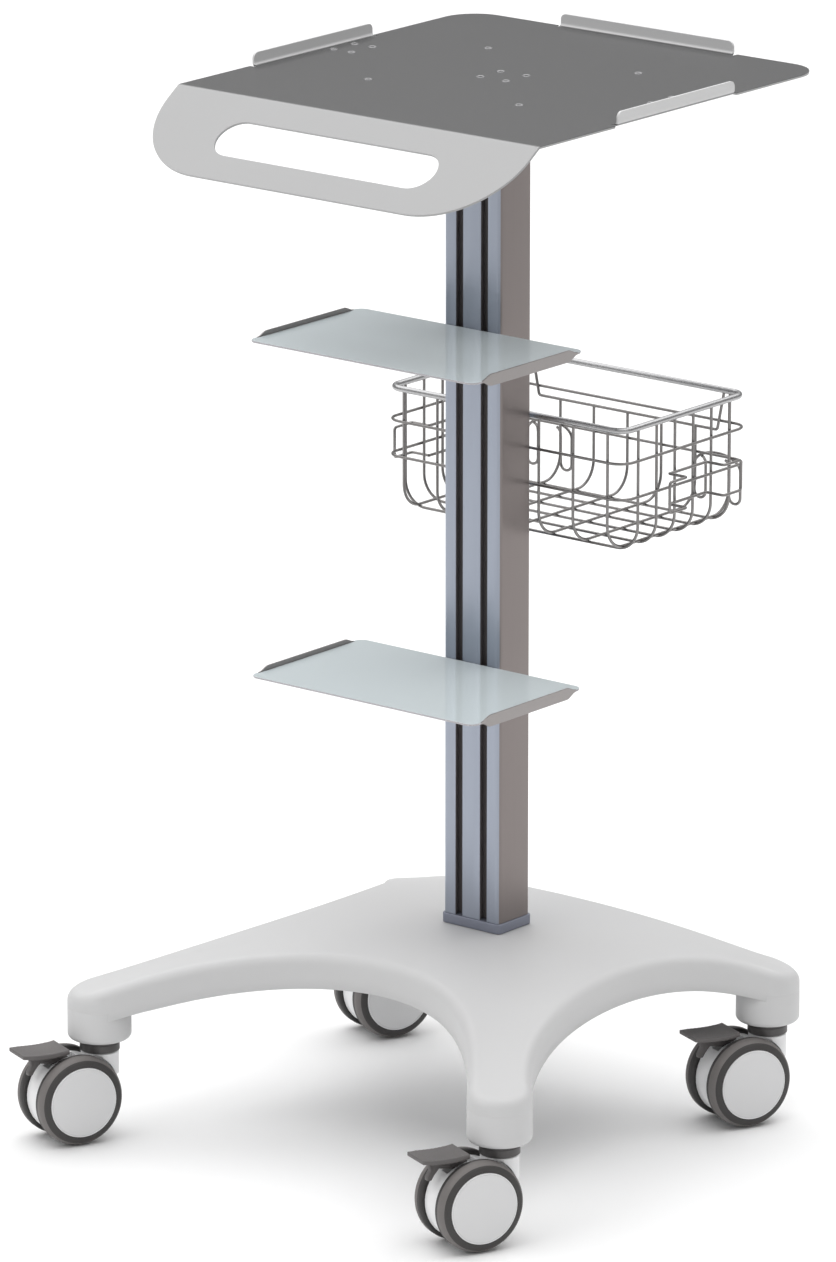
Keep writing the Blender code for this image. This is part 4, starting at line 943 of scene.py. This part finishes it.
def build_casters():
    parts = caster_parts()
    for name, stem in STEMS.items():
        upright = Matrix.Translation((stem.x, stem.y, 0))
        swivel = upright @ Matrix.Rotation(SWIVEL_AT_REST, 4, "Z")
        add(name + "_swivel_ring", parts["ring"], [RING_GREY], "frame",
            [name + "_caster_collar"], upright)
        add(name + "_housing_shell", parts["housing"], [HOUSING_WHITE], name + "_caster",
            [name + "_caster_housing"], swivel)
        add(name + "_pedal", parts["pedal"], [PEDAL_GREY], name + "_brake_pedal",
            [name + "_brake_pedal"], swivel)
        for side, sign in (("inner", -1), ("outer", 1)):
            hub = Matrix.Translation((sign * WHEEL_INNER, -TRAIL, WHEEL_R))
            wheel = swivel @ hub @ Matrix.Rotation(sign * pi / 2, 4, "Y")
            body = "%s_%s_wheel" % (name, side)
            add("%s_%s_tyre_ring" % (name, side), parts["tyre"], [TYRE, TREAD_PAINTED_LIGHT], body,
                ["%s_%s_tyre" % (name, side)], wheel)
            add("%s_%s_wheel_cap" % (name, side), parts["cap"], [CAP_WHITE, HUB_CORE_AND_BORE_SHADE, CAP_RIM], body,
                ["%s_%s_wheel_hub" % (name, side)], wheel)


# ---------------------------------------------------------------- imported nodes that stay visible
def paint_frame():
    """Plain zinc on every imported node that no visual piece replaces."""
    for obj in frame["nodes"].values():
        if obj.hide_render:
            continue
        obj.data.materials.clear()
        obj.data.materials.append(ZINC)


# ---------------------------------------------------------------- stage, lights, camera
def build_stage():
    bm = bmesh.new()
    bmesh.ops.create_grid(bm, x_segments=1, y_segments=1, size=60)
    mesh = bpy.data.meshes.new("studio_floor")
    bm.to_mesh(mesh)
    bm.free()
    floor = bpy.data.objects.new("studio_floor", mesh)
    SCENE.collection.objects.link(floor)
    floor.location.z = -0.0005
    mat = finish("floor_white", (0.95, 0.95, 0.95), 0.85, mottle=0.004, patch=1.0, bump=0.0)
    mesh.materials.append(mat)


def area(name, size, place, aim, power, colour=(1, 1, 1)):
    light = bpy.data.lights.new(name, "AREA")
    light.shape = "RECTANGLE"
    light.size, light.size_y = size
    light.energy = power
    light.color = colour
    obj = bpy.data.objects.new(name, light)
    SCENE.collection.objects.link(obj)
    obj.location = place
    obj.rotation_euler = (Vector(aim) - Vector(place)).to_track_quat("-Z", "Y").to_euler()
    return obj


def build_lights():
    area("overhead_softbox", (12, 12), (-1.5, 2.0, 6.0), (-1.5, 2.0, 0), 800)
    area("front_softbox", (3.5, 3.0), (-1.6, -4.8, 3.6), (0, 0, 0.6), 60)
    area("right_softbox", (2.5, 2.5), (5.0, -1.0, 2.4), (0, 0, 0.5), 12)
    world = bpy.data.worlds.new("studio")
    world.use_nodes = True
    world.node_tree.nodes["Background"].inputs["Color"].default_value = (1, 1, 1, 1)
    world.node_tree.nodes["Background"].inputs["Strength"].default_value = 0.35
    SCENE.world = world
    SCENE.view_settings.view_transform = "Standard"


def build_camera():
    azimuth, elevation, distance = radians(39), radians(15.58), 10.0
    away = Vector((sin(azimuth) * cos(elevation), -cos(azimuth) * cos(elevation), sin(elevation)))
    right = Vector((cos(azimuth), sin(azimuth), 0))
    target = Vector((CX, CY, 0.5476)) - right * 0.0751
    camera = bpy.data.cameras.new("camera")
    camera.sensor_width = 36
    camera.lens = 262.4
    camera.clip_end = 200
    obj = bpy.data.objects.new("camera", camera)
    SCENE.collection.objects.link(obj)
    obj.location = target + away * distance
    obj.rotation_euler = (-away).to_track_quat("-Z", "Y").to_euler()
    SCENE.camera = obj


build_camera()
build_base()
build_column()
build_platform()
build_shelf("upper")
build_shelf("lower")
build_basket()
build_casters()
paint_frame()
build_stage()
build_lights()
